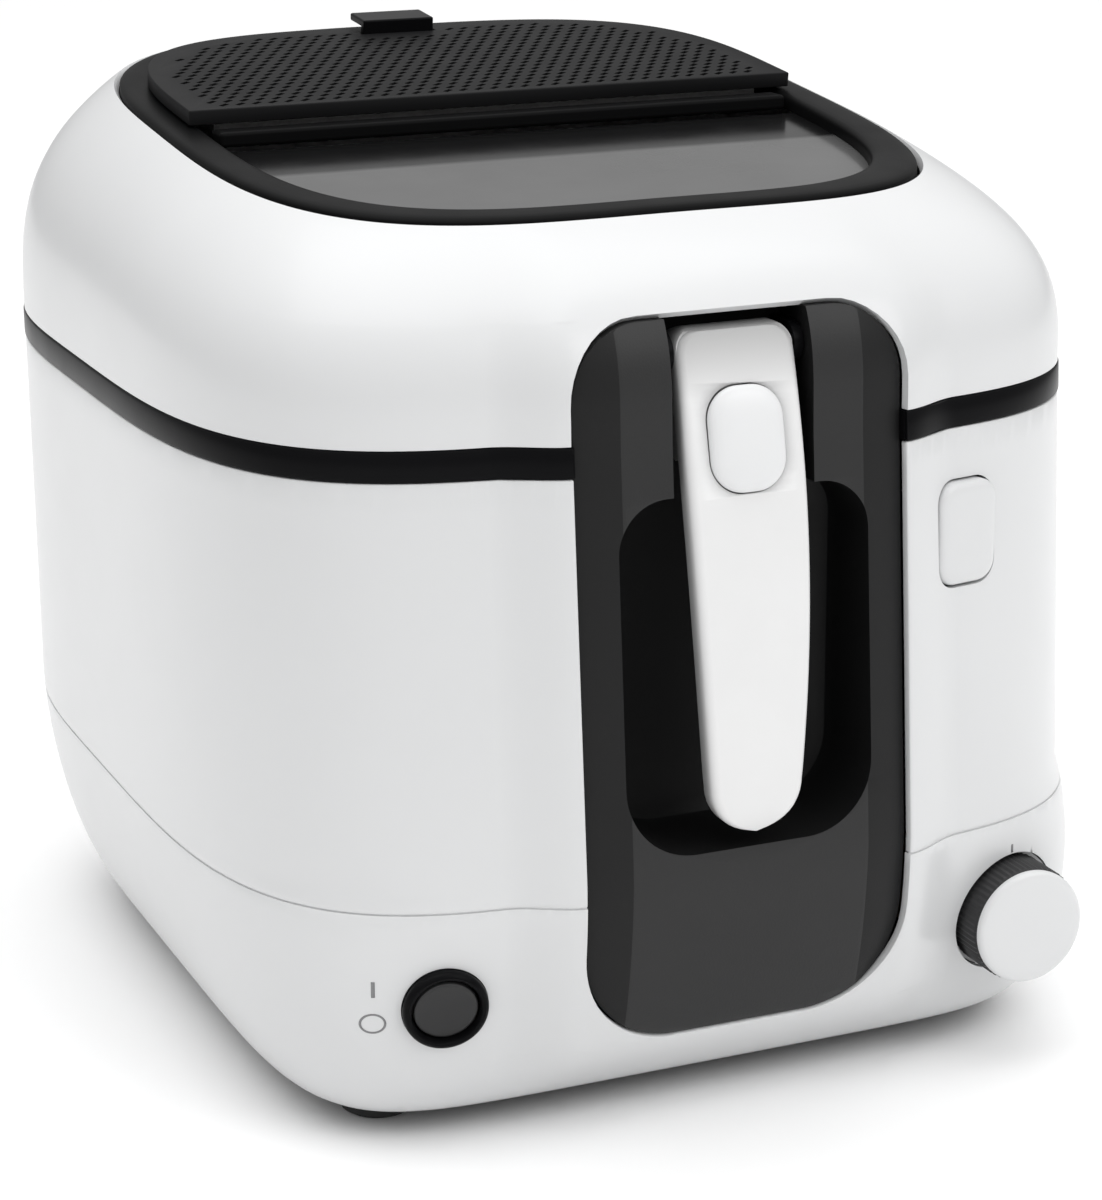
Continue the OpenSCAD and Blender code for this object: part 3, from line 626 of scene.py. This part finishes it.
def block(x0, x1, y0, y1, z0, z1):
    verts = [(x, y, z) for z in (z0, z1) for x, y in ((x0, y0), (x1, y0), (x1, y1), (x0, y1))]
    return verts, [(0, 1, 2, 3), (4, 5, 6, 7), (0, 1, 5, 4), (1, 2, 6, 5), (2, 3, 7, 6), (3, 0, 4, 7)]


def near_mouth(p):
    x, y, z = p.x / MM, p.y / MM - SETBACK, p.z / MM
    return abs(x) < 39 and 79 < z < 180 and y < face_y(z) + 0.9


def mark_bevels(mesh, outer, mouth, sharp=35):
    """Edge weights for the bevel: a broad lip round the grip's mouth, a fine one elsewhere."""
    bm = bmesh.new()
    bm.from_mesh(mesh)
    weight = bm.edges.layers.float.new("bevel_weight_edge")
    for edge in bm.edges:
        if len(edge.link_faces) == 2 and edge.calc_face_angle(0) > radians(sharp):
            inside = near_mouth(edge.verts[0].co) and near_mouth(edge.verts[1].co)
            edge[weight] = mouth if inside else outer
    bm.to_mesh(mesh)
    bm.free()


def front_panel():
    tub_back, slot_half = -146.0, 20.5
    panel = piece("front_panel_face", *panel_block(0, 0, tub_back), "housing", ["front_panel"],
                  "dark_satin", PANEL, closed=True)
    panel.data.materials.append(CAVITY_PAINTED_SHADE)
    panel.data.materials.append(PANEL_SIDE_PAINTED_SHADE)
    hollows = []
    for inset, depth in ((2.6, 3.0), (-1.0, 14.0)):
        hollow = cutter("hollow", *panel_block(inset, depth, -100))
        tub = cutter("tub", *front_rings([(0, -190), (0, tub_back)], 38.5, 79, 180, 16, 12, 22))
        slot = cutter("slot", *block(-slot_half - 2, slot_half + 2, -190, SLOT_BACK + 2, 170, 223.5))
        hollows.append(cut(hollow, [tub, slot]))
    cavity_rings = [(0, -200), (0, -154), (1.2, -150.6), (5.0, -148)]
    cavity = cutter("cavity", *front_rings(cavity_rings, 36.5, 81, 178, 14, 16, 20))
    cut(panel, [cavity])
    mark_bevels(panel.data, 0.35, 1.0)
    modifier(panel, "BEVEL", "Lip", width=2.4 * MM, segments=4, limit_method="WEIGHT")
    bake(panel)
    slot = cutter("slot", *block(-slot_half, slot_half, -200, SLOT_BACK, 165, 240))
    cut(panel, hollows + [slot])
    for face in panel.data.polygons:
        x, y, z = (c / MM for c in face.center)
        # painted shade: faces inside the grip cavity get the near-black copy of the panel's colour
        if y - SETBACK > face_y(z) + 2.6 and abs(x) < 37.2 and 77 < z:
            face.material_index = 1
        # painted shade: the angled side bands get the darker copy
        elif abs(x) > CREASE_X and y - SETBACK < face_y(z) + 2.6:
            face.material_index = 2
    return panel


front_panel()


# ---------------------------------------------------------------- handle
def handle_half(z):
    return 17.2 - 4 * (max(0.0, 190 - z) / 95) ** 2


def handle_front(z):
    return -181.2 + 15.5 * (max(0.0, z - 90) / 122) ** 2.4


def bar_section(half, front, back, r_front, r_back, z, steps=7):
    """Rounded rectangle in X-Y at height z."""
    points = []
    r_front = min(r_front, half - 0.05, (back - front) - 0.1)
    r_back = min(r_back, half - 0.05, (back - front) - r_front + 0.05)
    corners = ((half - r_front, front + r_front, r_front, 270),
               (half - r_back, back - r_back, r_back, 0),
               (-half + r_back, back - r_back, r_back, 90),
               (-half + r_front, front + r_front, r_front, 180))
    for cx, cy, r, start in corners:
        for k in range(steps + 1):
            a = radians(start + 90 * k / steps)
            points.append((cx + r * cos(a), cy + r * sin(a), z))
    return points


def handle_rows(low, high, shrink, crown=6.0):
    """Heights up the handle with the half width there: a round lower end and rounded upper corners."""
    tip = 13.5 - shrink
    rows = [(low + tip - tip * cos(a), max(0.8, tip * sin(a))) for a in np.linspace(0, pi / 2, 14)]
    top = high - crown
    rows += [(z, handle_half(z) - shrink) for z in np.linspace(low + tip, top, 70)[1:]]
    rows += [(top + crown * sin(a), handle_half(top) - shrink - crown + crown * cos(a))
             for a in np.linspace(0, pi / 2, 9)[1:]]
    return rows


def handle_layer(low, high, shrink, depth0, depth1, r_front, r_back, ease=0.0):
    sections = []
    for z, half in handle_rows(low, high, shrink):
        front = handle_front(z) + depth0 + ease * max(0.0, 1 - (z - low) / 7) ** 2
        sections.append(bar_section(half, front, handle_front(z) + depth1, r_front, r_back, float(z)))
    return loft(sections)


def loft(sections):
    verts = [p for section in sections for p in section]
    count = len(sections[0])
    last = len(verts) - count
    faces = grid_faces(len(sections), count, closed=True)
    return verts, faces + [tuple(range(count)), tuple(range(last, last + count))]


PIVOT_Y, PIVOT_Z = -158.3, 214.0
GRIP_PLACE = Matrix.Translation((0, -171.8, 192.2)) @ Matrix.Rotation(radians(-12), 4, "X")


def circle_arc(cy, cz, r, start, end, count):
    return [(cy + r * cos(a), cz + r * sin(a)) for a in np.linspace(start, end, count)]


def handle():
    shell = piece("handle_front", *handle_layer(86, 219.8, 0, 0, 7, 2.4, 0.8, 1.6), "handle",
                  ["handle_shell"], "white_plastic", HANDLE_PAINTED_SHADE, closed=True)
    shell.data.set_sharp_from_angle(angle=radians(40))
    round_edges(shell, 0.7, 3, 40)
    bake(shell)
    pocket = front_rings([(0, -12), (0, 4)], 11.2, -14.4, 14.4, 9.4, 16)
    cut(shell, [cutter("pocket", transformed(pocket[0], GRIP_PLACE), pocket[1])])
    low = circle_arc(handle_front(190) + 7, 190, 4, -1.35, 0.1, 10)
    outline = low + circle_arc(PIVOT_Y, PIVOT_Z, 6.5, 0.1, pi / 2 + 0.55, 30)
    outline += [(-163.3, 216), (handle_front(190) + 3, 190)]
    n = len(outline)
    verts = [(x, y, z) for x in (-16.9, 16.9) for y, z in outline]
    faces = prism_faces(n)
    hub = piece("handle_hub", verts, faces, "handle", [], "white_plastic", HANDLE_PAINTED_SHADE, closed=True)
    crown = front_rings([(0, -210), (0, -90)], 16.9, 150, 220.5, 6, 16)
    keep = cutter("crown", *crown)
    modifier(hub, "BOOLEAN", "Crown", operation="INTERSECT", solver="EXACT", object=keep)
    bake(hub)
    bpy.data.objects.remove(keep)
    hub.data.set_sharp_from_angle(angle=radians(38))
    round_edges(hub, 0.8, 3, 40)
    bake(hub)
    cut(hub, [cutter("hub_pocket", transformed(pocket[0], GRIP_PLACE), pocket[1])])
    # the rear half takes the painted shade of the handle's sides
    back = piece("handle_rear", *handle_layer(88, 186, 1.2, 7.4, 11, 0.4, 2.4), "handle", ["handle_back"],
                 "handle_grey", HANDLE_SIDE_PAINTED_SHADE, closed=True)
    back.data.set_sharp_from_angle(angle=radians(40))
    round_edges(back, 0.4, 2, 50)


def pillow(name, profile, half_w, z0, z1, r, body, node, material, slot, place=None, extra=None):
    verts, faces = front_rings(profile, half_w, z0, z1, r, 14)
    if extra:
        start = len(verts)
        verts += extra[0]
        faces += [tuple(start + i for i in f) for f in extra[1]]
    if place:
        verts = transformed(verts, place)
    obj = piece(name, verts, faces, body, [node], slot, material, closed=True)
    obj.data.set_sharp_from_angle(angle=radians(50))
    return obj


def handle_with_painted_shade():
    """Moulded plastic with painted shade: light on the curved face of the handle, darkened down its sides and
    towards its top where shade falls.
    """
    m = moulded("handle_white_painted_shade", (0.8, 0.8, 0.8), 0.36, 1300.0, 0.03, 0.012, 0.04)
    nodes, links = m.node_tree.nodes, m.node_tree.links
    shader = nodes["Principled BSDF"]
    coords = nodes.new("ShaderNodeTexCoord").outputs["Object"]
    split = nodes.new("ShaderNodeSeparateXYZ")
    links.new(coords, split.inputs["Vector"])

    def maths(operation, a, b):
        node = nodes.new("ShaderNodeMath")
        node.operation = operation
        for socket, value in zip(node.inputs, (a, b)):
            if isinstance(value, float):
                socket.default_value = value
            else:
                links.new(value, socket)
        return node.outputs["Value"]
    climb = maths("MAXIMUM", maths("SUBTRACT", split.outputs["Z"], 0.090), 0.0)
    curve = maths("MULTIPLY", maths("POWER", maths("DIVIDE", climb, 0.122), 2.4), 0.0155)
    face = maths("ADD", curve, (SETBACK - 181.2) * MM)
    depth = maths("DIVIDE", maths("SUBTRACT", split.outputs["Y"], face), 0.0075)
    # painted shade: the white darkens to grey with depth behind the handle's curved face
    painted_shade_stops = [(0.0, (0.74,) * 3), (0.2, (0.7,) * 3), (0.55, (0.36,) * 3), (1.0, (0.2,) * 3)]
    tone = ramp(nodes, links, depth, painted_shade_stops)
    grain = ramp(nodes, links, noise(nodes, links, coords, 40.0, 3.0),
                 [(0.3, (0.97,) * 3), (0.7, (1.0,) * 3)])
    mixed = nodes.new("ShaderNodeMix")
    mixed.data_type, mixed.blend_type = "RGBA", "MULTIPLY"
    mixed.inputs["Factor"].default_value = 1.0
    links.new(tone.outputs["Color"], mixed.inputs[6])
    links.new(grain.outputs["Color"], mixed.inputs[7])
    # painted shade: the colour darkens towards the top of the hub, where the recess shades it
    crown = ramp(nodes, links, maths("DIVIDE", maths("SUBTRACT", split.outputs["Z"], 0.203), 0.017),
                 [(0.0, (1.0,) * 3), (1.0, (0.5,) * 3)])
    shaded = nodes.new("ShaderNodeMix")
    shaded.data_type, shaded.blend_type = "RGBA", "MULTIPLY"
    shaded.inputs["Factor"].default_value = 1.0
    links.new(mixed.outputs[2], shaded.inputs[6])
    links.new(crown.outputs["Color"], shaded.inputs[7])
    links.new(shaded.outputs[2], shader.inputs["Base Color"])
    return m


# white handle plastic with painted shade down its sides and over its top
HANDLE_PAINTED_SHADE = handle_with_painted_shade()
# painted shade: the handle's light rear half is given a near-black grey standing in for the shade down its sides
HANDLE_SIDE_PAINTED_SHADE = moulded("handle_rear_painted_shade", (0.12, 0.12, 0.122), 0.42, 1300.0, 0.04, 0.03)
handle()
GRIP_DOME = [(0, 1), (0, 0.1), (0.3, -0.45), (0.9, -0.95), (1.9, -1.4), (3.4, -1.75), (5.8, -2)]
pillow("handle_button_cap", GRIP_DOME,
       10.8, -14, 14, 9.0, "grip_button", "handle_button", HANDLE_WHITE, "white_plastic", GRIP_PLACE)
stem_verts, stem_faces = lathe([(0, -2.8), (3, -2.8), (3, -10.5), (0, -10.5)], 48)
stem_verts = [(x, -h, BUTTON_Z + y) for x, y, h in stem_verts]
LID_DOME = [(0, 3), (0, -0.4), (0.25, -1.0), (0.8, -1.45), (1.8, -1.75), (3.4, -1.92), (5.4, -2)]
pillow("lid_button_cap", LID_DOME, 10, BUTTON_Z - 14.5, BUTTON_Z + 14.5, 6, "release_button", "lid_button",
       WHITE, "white_plastic", BUTTON_PLACE, (stem_verts, stem_faces))


# ---------------------------------------------------------------- knob and power switch
KNOB_X, KNOB_Z = 88.4, 42.2
KNOB_PLACE = Matrix.Translation((KNOB_X, 0, KNOB_Z)) @ Matrix.Rotation(pi / 2, 4, "X")


def turned(name, profile, place, body, nodes, slot, material, count=128, ribs=0, rib_depth=0.0):
    verts, faces = lathe(profile, count)
    if ribs:
        shaped = []
        for x, y, h in verts:
            r = sqrt(x * x + y * y)
            if r > profile[2][0] - 0.6:
                a = np.arctan2(y, x)
                k = 1 - rib_depth * (0.5 + 0.5 * cos(ribs * a)) / r
                x, y = x * k, y * k
            shaped.append((x, y, h))
        verts = shaped
    obj = piece(name, transformed(verts, place), faces, body, nodes, slot, material, closed=True)
    obj.data.set_sharp_from_angle(angle=radians(32))
    return obj


SKIRT = [(3.05, 160), (16.2, 160), (17, 160.7), (17, 173.9), (16.6, 174.5), (15.8, 175), (3.05, 175), (3.05, 160)]
turned("knob_skirt_ring", SKIRT,
       KNOB_PLACE, "knob", ["knob_skirt"], "knob_grey", KNOB_DARK, 240, 60, 0.35)
KNOB_FACE = [(0, 175), (16.0, 175), (16.55, 175.3), (16.6, 175.9), (16.45, 176.6), (16.0, 177.1),
             (15.2, 177.4), (13.5, 177.52), (8, 177.58), (0, 177.6)]
turned("knob_cap_disc", KNOB_FACE,
       KNOB_PLACE, "knob", ["knob_cap"], "knob_silver", KNOB_LIGHT)
BEZEL = [(9.3, 1.4), (11.6, 1.4), (11.7, 2.6), (11.5, 3.5), (11.0, 4.15), (10.4, 4.4), (9.8, 4.2),
         (9.4, 3.6), (9.3, 2.9), (9.3, 1.4)]
turned("switch_ring", BEZEL,
       SWITCH_PLACE, "housing", ["switch_bezel"], "black_gloss", BLACK)
dish = [(r, 28.5 - sqrt(27 ** 2 - r * r)) for r in (1.5, 3, 4.5, 5.8, 6.8, 7.5)]
rocker_rim = [(8.1, 2.85), (8.5, 2.8), (8.8, 2.4), (8.88, 1.8), (8.88, -4), (0, -4)]
turned("rocker_dish", [(0, 1.5)] + dish + rocker_rim,
       SWITCH_PLACE @ Matrix.Rotation(radians(4), 4, "X"), "rocker", ["switch_rocker"], "black_gloss", ROCKER)


# ---------------------------------------------------------------- printed marks on the base
def on_base(x, z, lift=0.06):
    return x, front_y(x, z) - lift, z


def mark_strip(name, centre_line, width, material):
    """A thin printed line on the base's front, following points (x, z)."""
    verts, faces = [], []
    for k, (x, z) in enumerate(centre_line):
        x0, z0 = centre_line[max(0, k - 1)]
        x1, z1 = centre_line[min(len(centre_line) - 1, k + 1)]
        if centre_line[0] == centre_line[-1] and k in (0, len(centre_line) - 1):
            (x0, z0), (x1, z1) = centre_line[-2], centre_line[1]
        length = sqrt((x1 - x0) ** 2 + (z1 - z0) ** 2)
        nx, nz = (z1 - z0) / length * width / 2, -(x1 - x0) / length * width / 2
        for lift in (0.07, -0.05):
            verts += [on_base(x + nx, z + nz, lift), on_base(x - nx, z - nz, lift)]
    for k in range(len(centre_line) - 1):
        a, b = 4 * k, 4 * k + 4
        faces += [(a, a + 1, b + 1, b), (a + 2, b + 2, b + 3, a + 3)]
        faces += [(a, b, b + 2, a + 2), (a + 1, a + 3, b + 3, b + 1)]
    last = 4 * (len(centre_line) - 1)
    faces += [(0, 2, 3, 1), (last, last + 1, last + 3, last + 2)]
    return piece(name, verts, faces, "housing", [], None, material)


MARK = moulded("printed_mark", (0.2, 0.2, 0.205), 0.5, 900.0, 0.02, 0.05)
mark_strip("mark_on", [(-102.9, 48.1 + 0.9 * k) for k in range(6)], 0.9, MARK)
ring_angles = [2 * pi * k / 40 for k in range(40)] + [0.0]
off_ring = [(-102.9 + 3.0 * cos(a), 40.3 + 2.75 * sin(a)) for a in ring_angles]
mark_strip("mark_off", off_ring, 0.55, MARK)
mark_strip("mark_knob", [(KNOB_X, KNOB_Z + 18.6 + 0.8 * k) for k in range(4)], 0.7, MARK)

# ---------------------------------------------------------------- lid frame, window and filter cover
FRAME_OUTER, FRAME_INNER = (1.6, 1.6, 1.6), (13.0, 14.5, 10.0)   # insets at the sides, front and rear
PANE_TOP = -6.3


def frame_rings(profile, count=240):
    """Closed rings; each is (share of the frame's width, height over the lid's top or None for the window)."""
    t = np.linspace(0, 2 * pi, count + 1)[:-1]
    verts = []
    for share, height in profile:
        size = [f - mix(a, b, share) for f, a, b in zip(FRAME, FRAME_OUTER, FRAME_INNER)]
        x, y = oval(t, size, FRAME_N, REAR_N)
        z = FRAME_Z + FRAME_SLOPE * y + PANE_TOP + 0.1 if height is None else lid_top(x, y) + height
        verts += list(np.stack([x, y, z], -1))
    rows = len(profile)
    faces = grid_faces(rows, count, closed=True)
    last = (rows - 1) * count
    faces += [(last + i, last + (i + 1) % count, (i + 1) % count, i) for i in range(count)]
    return verts, faces


def lid_frame():
    profile = [(0.0, -5), (0.0, -0.1), (0.02, 0.3), (0.07, 0.75), (0.15, 1.0), (0.3, 1.1), (0.7, 0.8), (0.85, 0.55),
               (0.93, 0.2), (0.98, -0.5), (1.0, -1.4), (1.0, None), (0.82, None), (0.7, -3.6)]
    ring = piece("lid_frame_ring", *frame_rings(profile), "lid", ["lid_frame"], "black_gloss", FRAME_BLACK,
                 closed=True)
    ring.data.set_sharp_from_angle(angle=radians(50))
    bar = piece("lid_frame_bar", *block(-91, 91, -14, -5, 252, 256.5), "lid", [], "black_gloss", FRAME_BLACK,
                closed=True)
    round_edges(bar, 1.2, 3, 35)


def tilt(height):
    return Matrix.Translation((0, 0, height)) @ Matrix.Rotation(atan(FRAME_SLOPE), 4, "X")


def sheet(outline, z0, z1, place):
    n = len(outline)
    verts = [(x, y, z0) for x, y in outline] + [(x, y, z1) for x, y in outline]
    faces = prism_faces(n)
    return transformed(verts, place), faces


def window():
    t = np.linspace(pi, 2 * pi, 161)
    x, y = oval(t, FRAME, FRAME_N, REAR_N, 11)
    outline = [(a, b) for a, b in zip(x, y) if b < -15.4]
    outline = [(outline[0][0], -15.4)] + outline + [(outline[-1][0], -15.4)]
    pane = piece("window_glass", *sheet(outline, 0, 3, tilt(FRAME_Z - 9.3)), "lid", ["window_pane"], "smoked_glass",
                 GLASS, closed=True, smooth=False)
    round_edges(pane, 0.5, 2, 40)


COVER_Y, COVER_Z, COVER_SIZE, COVER_TALL = -4.3, 258.0, (97.0, 97.0, 93.0), 4.4


def cover_outline(inset, count=200):
    t = np.linspace(-0.05, pi + 0.05, count)
    x, y = oval(t, COVER_SIZE, FRAME_N, REAR_N, inset)
    low = COVER_Y + inset
    points = [(a, b) for a, b in zip(x, y) if b > low + 0.2]
    return [(points[0][0], low)] + points + [(points[-1][0], low)]


def filter_cover():
    place = tilt(COVER_Z)
    cover = piece("filter_cover_lid", *sheet(cover_outline(0), 0, COVER_TALL, place), "cover", ["filter_cover"],
                  "cover_plastic", COVER, closed=True)
    tools = [cutter("under", *sheet(cover_outline(2.5), -1, COVER_TALL - 2, place)),
             cutter("notch", *sheet([(-12.5, 82), (12.5, 82), (12.5, 112), (-12.5, 112)], 0.8, 11, place))]
    cut(cover, tools)
    round_edges(cover, 1.1, 3, 50)
    bake(cover)
    verts, faces = [], []
    lean = radians(38)
    for row in range(21):
        y = 0.6 + 4.3 * row
        for k in range(-19, 20):
            x = 5.0 * k + (2.5 if row % 2 else 0)
            half, reach = COVER_SIZE[0] - 7.5, COVER_SIZE[2] - 7.5
            if (abs(x) / half) ** REAR_N + (y / reach) ** REAR_N > 1 or (abs(x) < 16 and y > 77):
                continue
            corners = []
            for dx, dy in ((-1.75, -0.8), (1.75, -0.8), (1.75, 0.8), (-1.75, 0.8)):
                corners.append((x + dx * cos(lean) - dy * sin(lean), y + dx * sin(lean) + dy * cos(lean)))
            v, f = sheet(corners, 1.6, COVER_TALL + 1, place)
            faces += [tuple(len(verts) + i for i in face) for face in f]
            verts += v
    cut(cover, [cutter("slots", verts, faces)])


def cover_tab():
    profile = [(82.4, 1), (85.4, 1), (85.4, 6.2), (95.4, 6.2), (95.4, 8.6), (82.4, 8.6)]
    n = len(profile)
    verts = [(x, y, z) for x in (-12, 12) for y, z in profile]
    faces = prism_faces(n)
    tab = piece("cover_tab_grip", transformed(verts, tilt(COVER_Z)), faces, "cover", ["cover_tab"], "black_gloss", BLACK,
                closed=True)
    round_edges(tab, 0.6, 3, 40)


lid_frame()
window()
filter_cover()
cover_tab()


# ---------------------------------------------------------------- CAD pieces that keep their shape
CAD_LOOKS = {
    "rim_ring": BLACK, "front_panel": PANEL, "bottom_plate": GREY, "feet": RUBBER, "bottom_screws": STEEL,
    "bowl": NONSTICK, "heating_element": STEEL, "heat_shield": ALUMINIUM, "thermostat": PHENOLIC,
    "safety_cutout": STEEL, "terminal_block": PHENOLIC, "knob_bezel": WHITE, "switch_bezel": BLACK,
    "switch_body": GREY, "cord_gland": GREY, "hinge_bracket": BLACK, "hinge_screws": STEEL, "hinge_pin": STEEL,
    "latch_bracket": GREY, "latch_pin": STEEL, "handle_bracket": BLACK, "handle_pin": STEEL, "lid_frame": BLACK,
    "window_pane": GLASS, "window_seal": SEAL, "lid_liner": ALUMINIUM, "lid_seal": SEAL, "lid_catch": GREY,
    "lid_knuckle": BLACK, "lid_screws": STEEL, "grease_filter": MESH_METAL, "filter_cover": COVER,
    "cover_tab": BLACK, "handle_shell": HANDLE_WHITE, "handle_back": HANDLE_GREY, "handle_button": HANDLE_WHITE,
    "basket_mesh": WIRE, "basket_rim": WIRE, "basket_arm": WIRE, "lid_button": WHITE, "lid_latch": GREY,
    "knob_skirt": KNOB_DARK, "knob_cap": KNOB_LIGHT, "knob_shaft": STEEL, "switch_rocker": BLACK,
    "base_shell": WHITE, "body_shell": WHITE, "lid_shell": WHITE,
}
for name, look in CAD_LOOKS.items():
    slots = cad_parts[name].data.materials
    slots.clear()
    slots.append(look)


# ---------------------------------------------------------------- floor, light and camera
def studio():
    size = 3.0
    mesh = bpy.data.meshes.new("floor")
    mesh.from_pydata([(-size, -size, 0), (size, -size, 0), (size, size, 0), (-size, size, 0)], [], [(0, 1, 2, 3)])
    floor = bpy.data.objects.new("floor", mesh)
    scene.collection.objects.link(floor)
    m, nodes, links, shader = node_material("floor_paper")
    coords = nodes.new("ShaderNodeTexCoord").outputs["Object"]
    tone = ramp(nodes, links, noise(nodes, links, coords, 3.0, 2.0),
                [(0.3, (0.96,) * 3), (0.7, (0.97,) * 3)])
    links.new(tone.outputs["Color"], shader.inputs["Base Color"])
    shader.inputs["Roughness"].default_value = 0.7
    shader.inputs["Specular IOR Level"].default_value = 0.2
    mesh.materials.append(m)
    world = bpy.data.worlds.new("studio")
    scene.world = world
    world.use_nodes = True
    nodes, links = world.node_tree.nodes, world.node_tree.links
    nodes["Background"].inputs["Color"].default_value = (1, 1, 1, 1)
    split = nodes.new("ShaderNodeSeparateXYZ")
    links.new(nodes.new("ShaderNodeTexCoord").outputs["Generated"], split.inputs["Vector"])
    sky = nodes.new("ShaderNodeMapRange")
    sky.inputs["To Min"].default_value = 0.28
    sky.inputs["To Max"].default_value = 1.4
    links.new(split.outputs["Z"], sky.inputs["Value"])
    links.new(sky.outputs["Result"], nodes["Background"].inputs["Strength"])

    def panel(name, place, target, width, height, power):
        lamp = bpy.data.lights.new(name, "AREA")
        lamp.shape, lamp.size, lamp.size_y, lamp.energy = "RECTANGLE", width, height, power
        obj = bpy.data.objects.new(name, lamp)
        obj.location = place
        obj.rotation_euler = (Vector(target) - Vector(place)).to_track_quat("-Z", "Y").to_euler()
        scene.collection.objects.link(obj)
    panel("key", (0.9, -1.6, 1.3), (0, 0, 0.12), 1.2, 1.2, 9)
    panel("top", (-0.1, 0.1, 1.7), (0, 0, 0.1), 1.6, 1.6, 10)
    scene.view_settings.view_transform = "Standard"


def camera():
    data = bpy.data.cameras.new("camera")
    data.sensor_width = 36
    data.lens = 36 * 3218 / 1200
    obj = bpy.data.objects.new("camera", data)
    turn, lift, roll = radians(-23.06), radians(16.68), radians(-0.43)
    obj.location = (-0.3662, -0.9006 + SETBACK * MM, 0.3926)
    obj.rotation_euler = (Matrix.Rotation(turn, 3, "Z") @ Matrix.Rotation(pi / 2 - lift, 3, "X")
                          @ Matrix.Rotation(roll, 3, "Z")).to_euler()
    scene.collection.objects.link(obj)
    scene.camera = obj


studio()
camera()
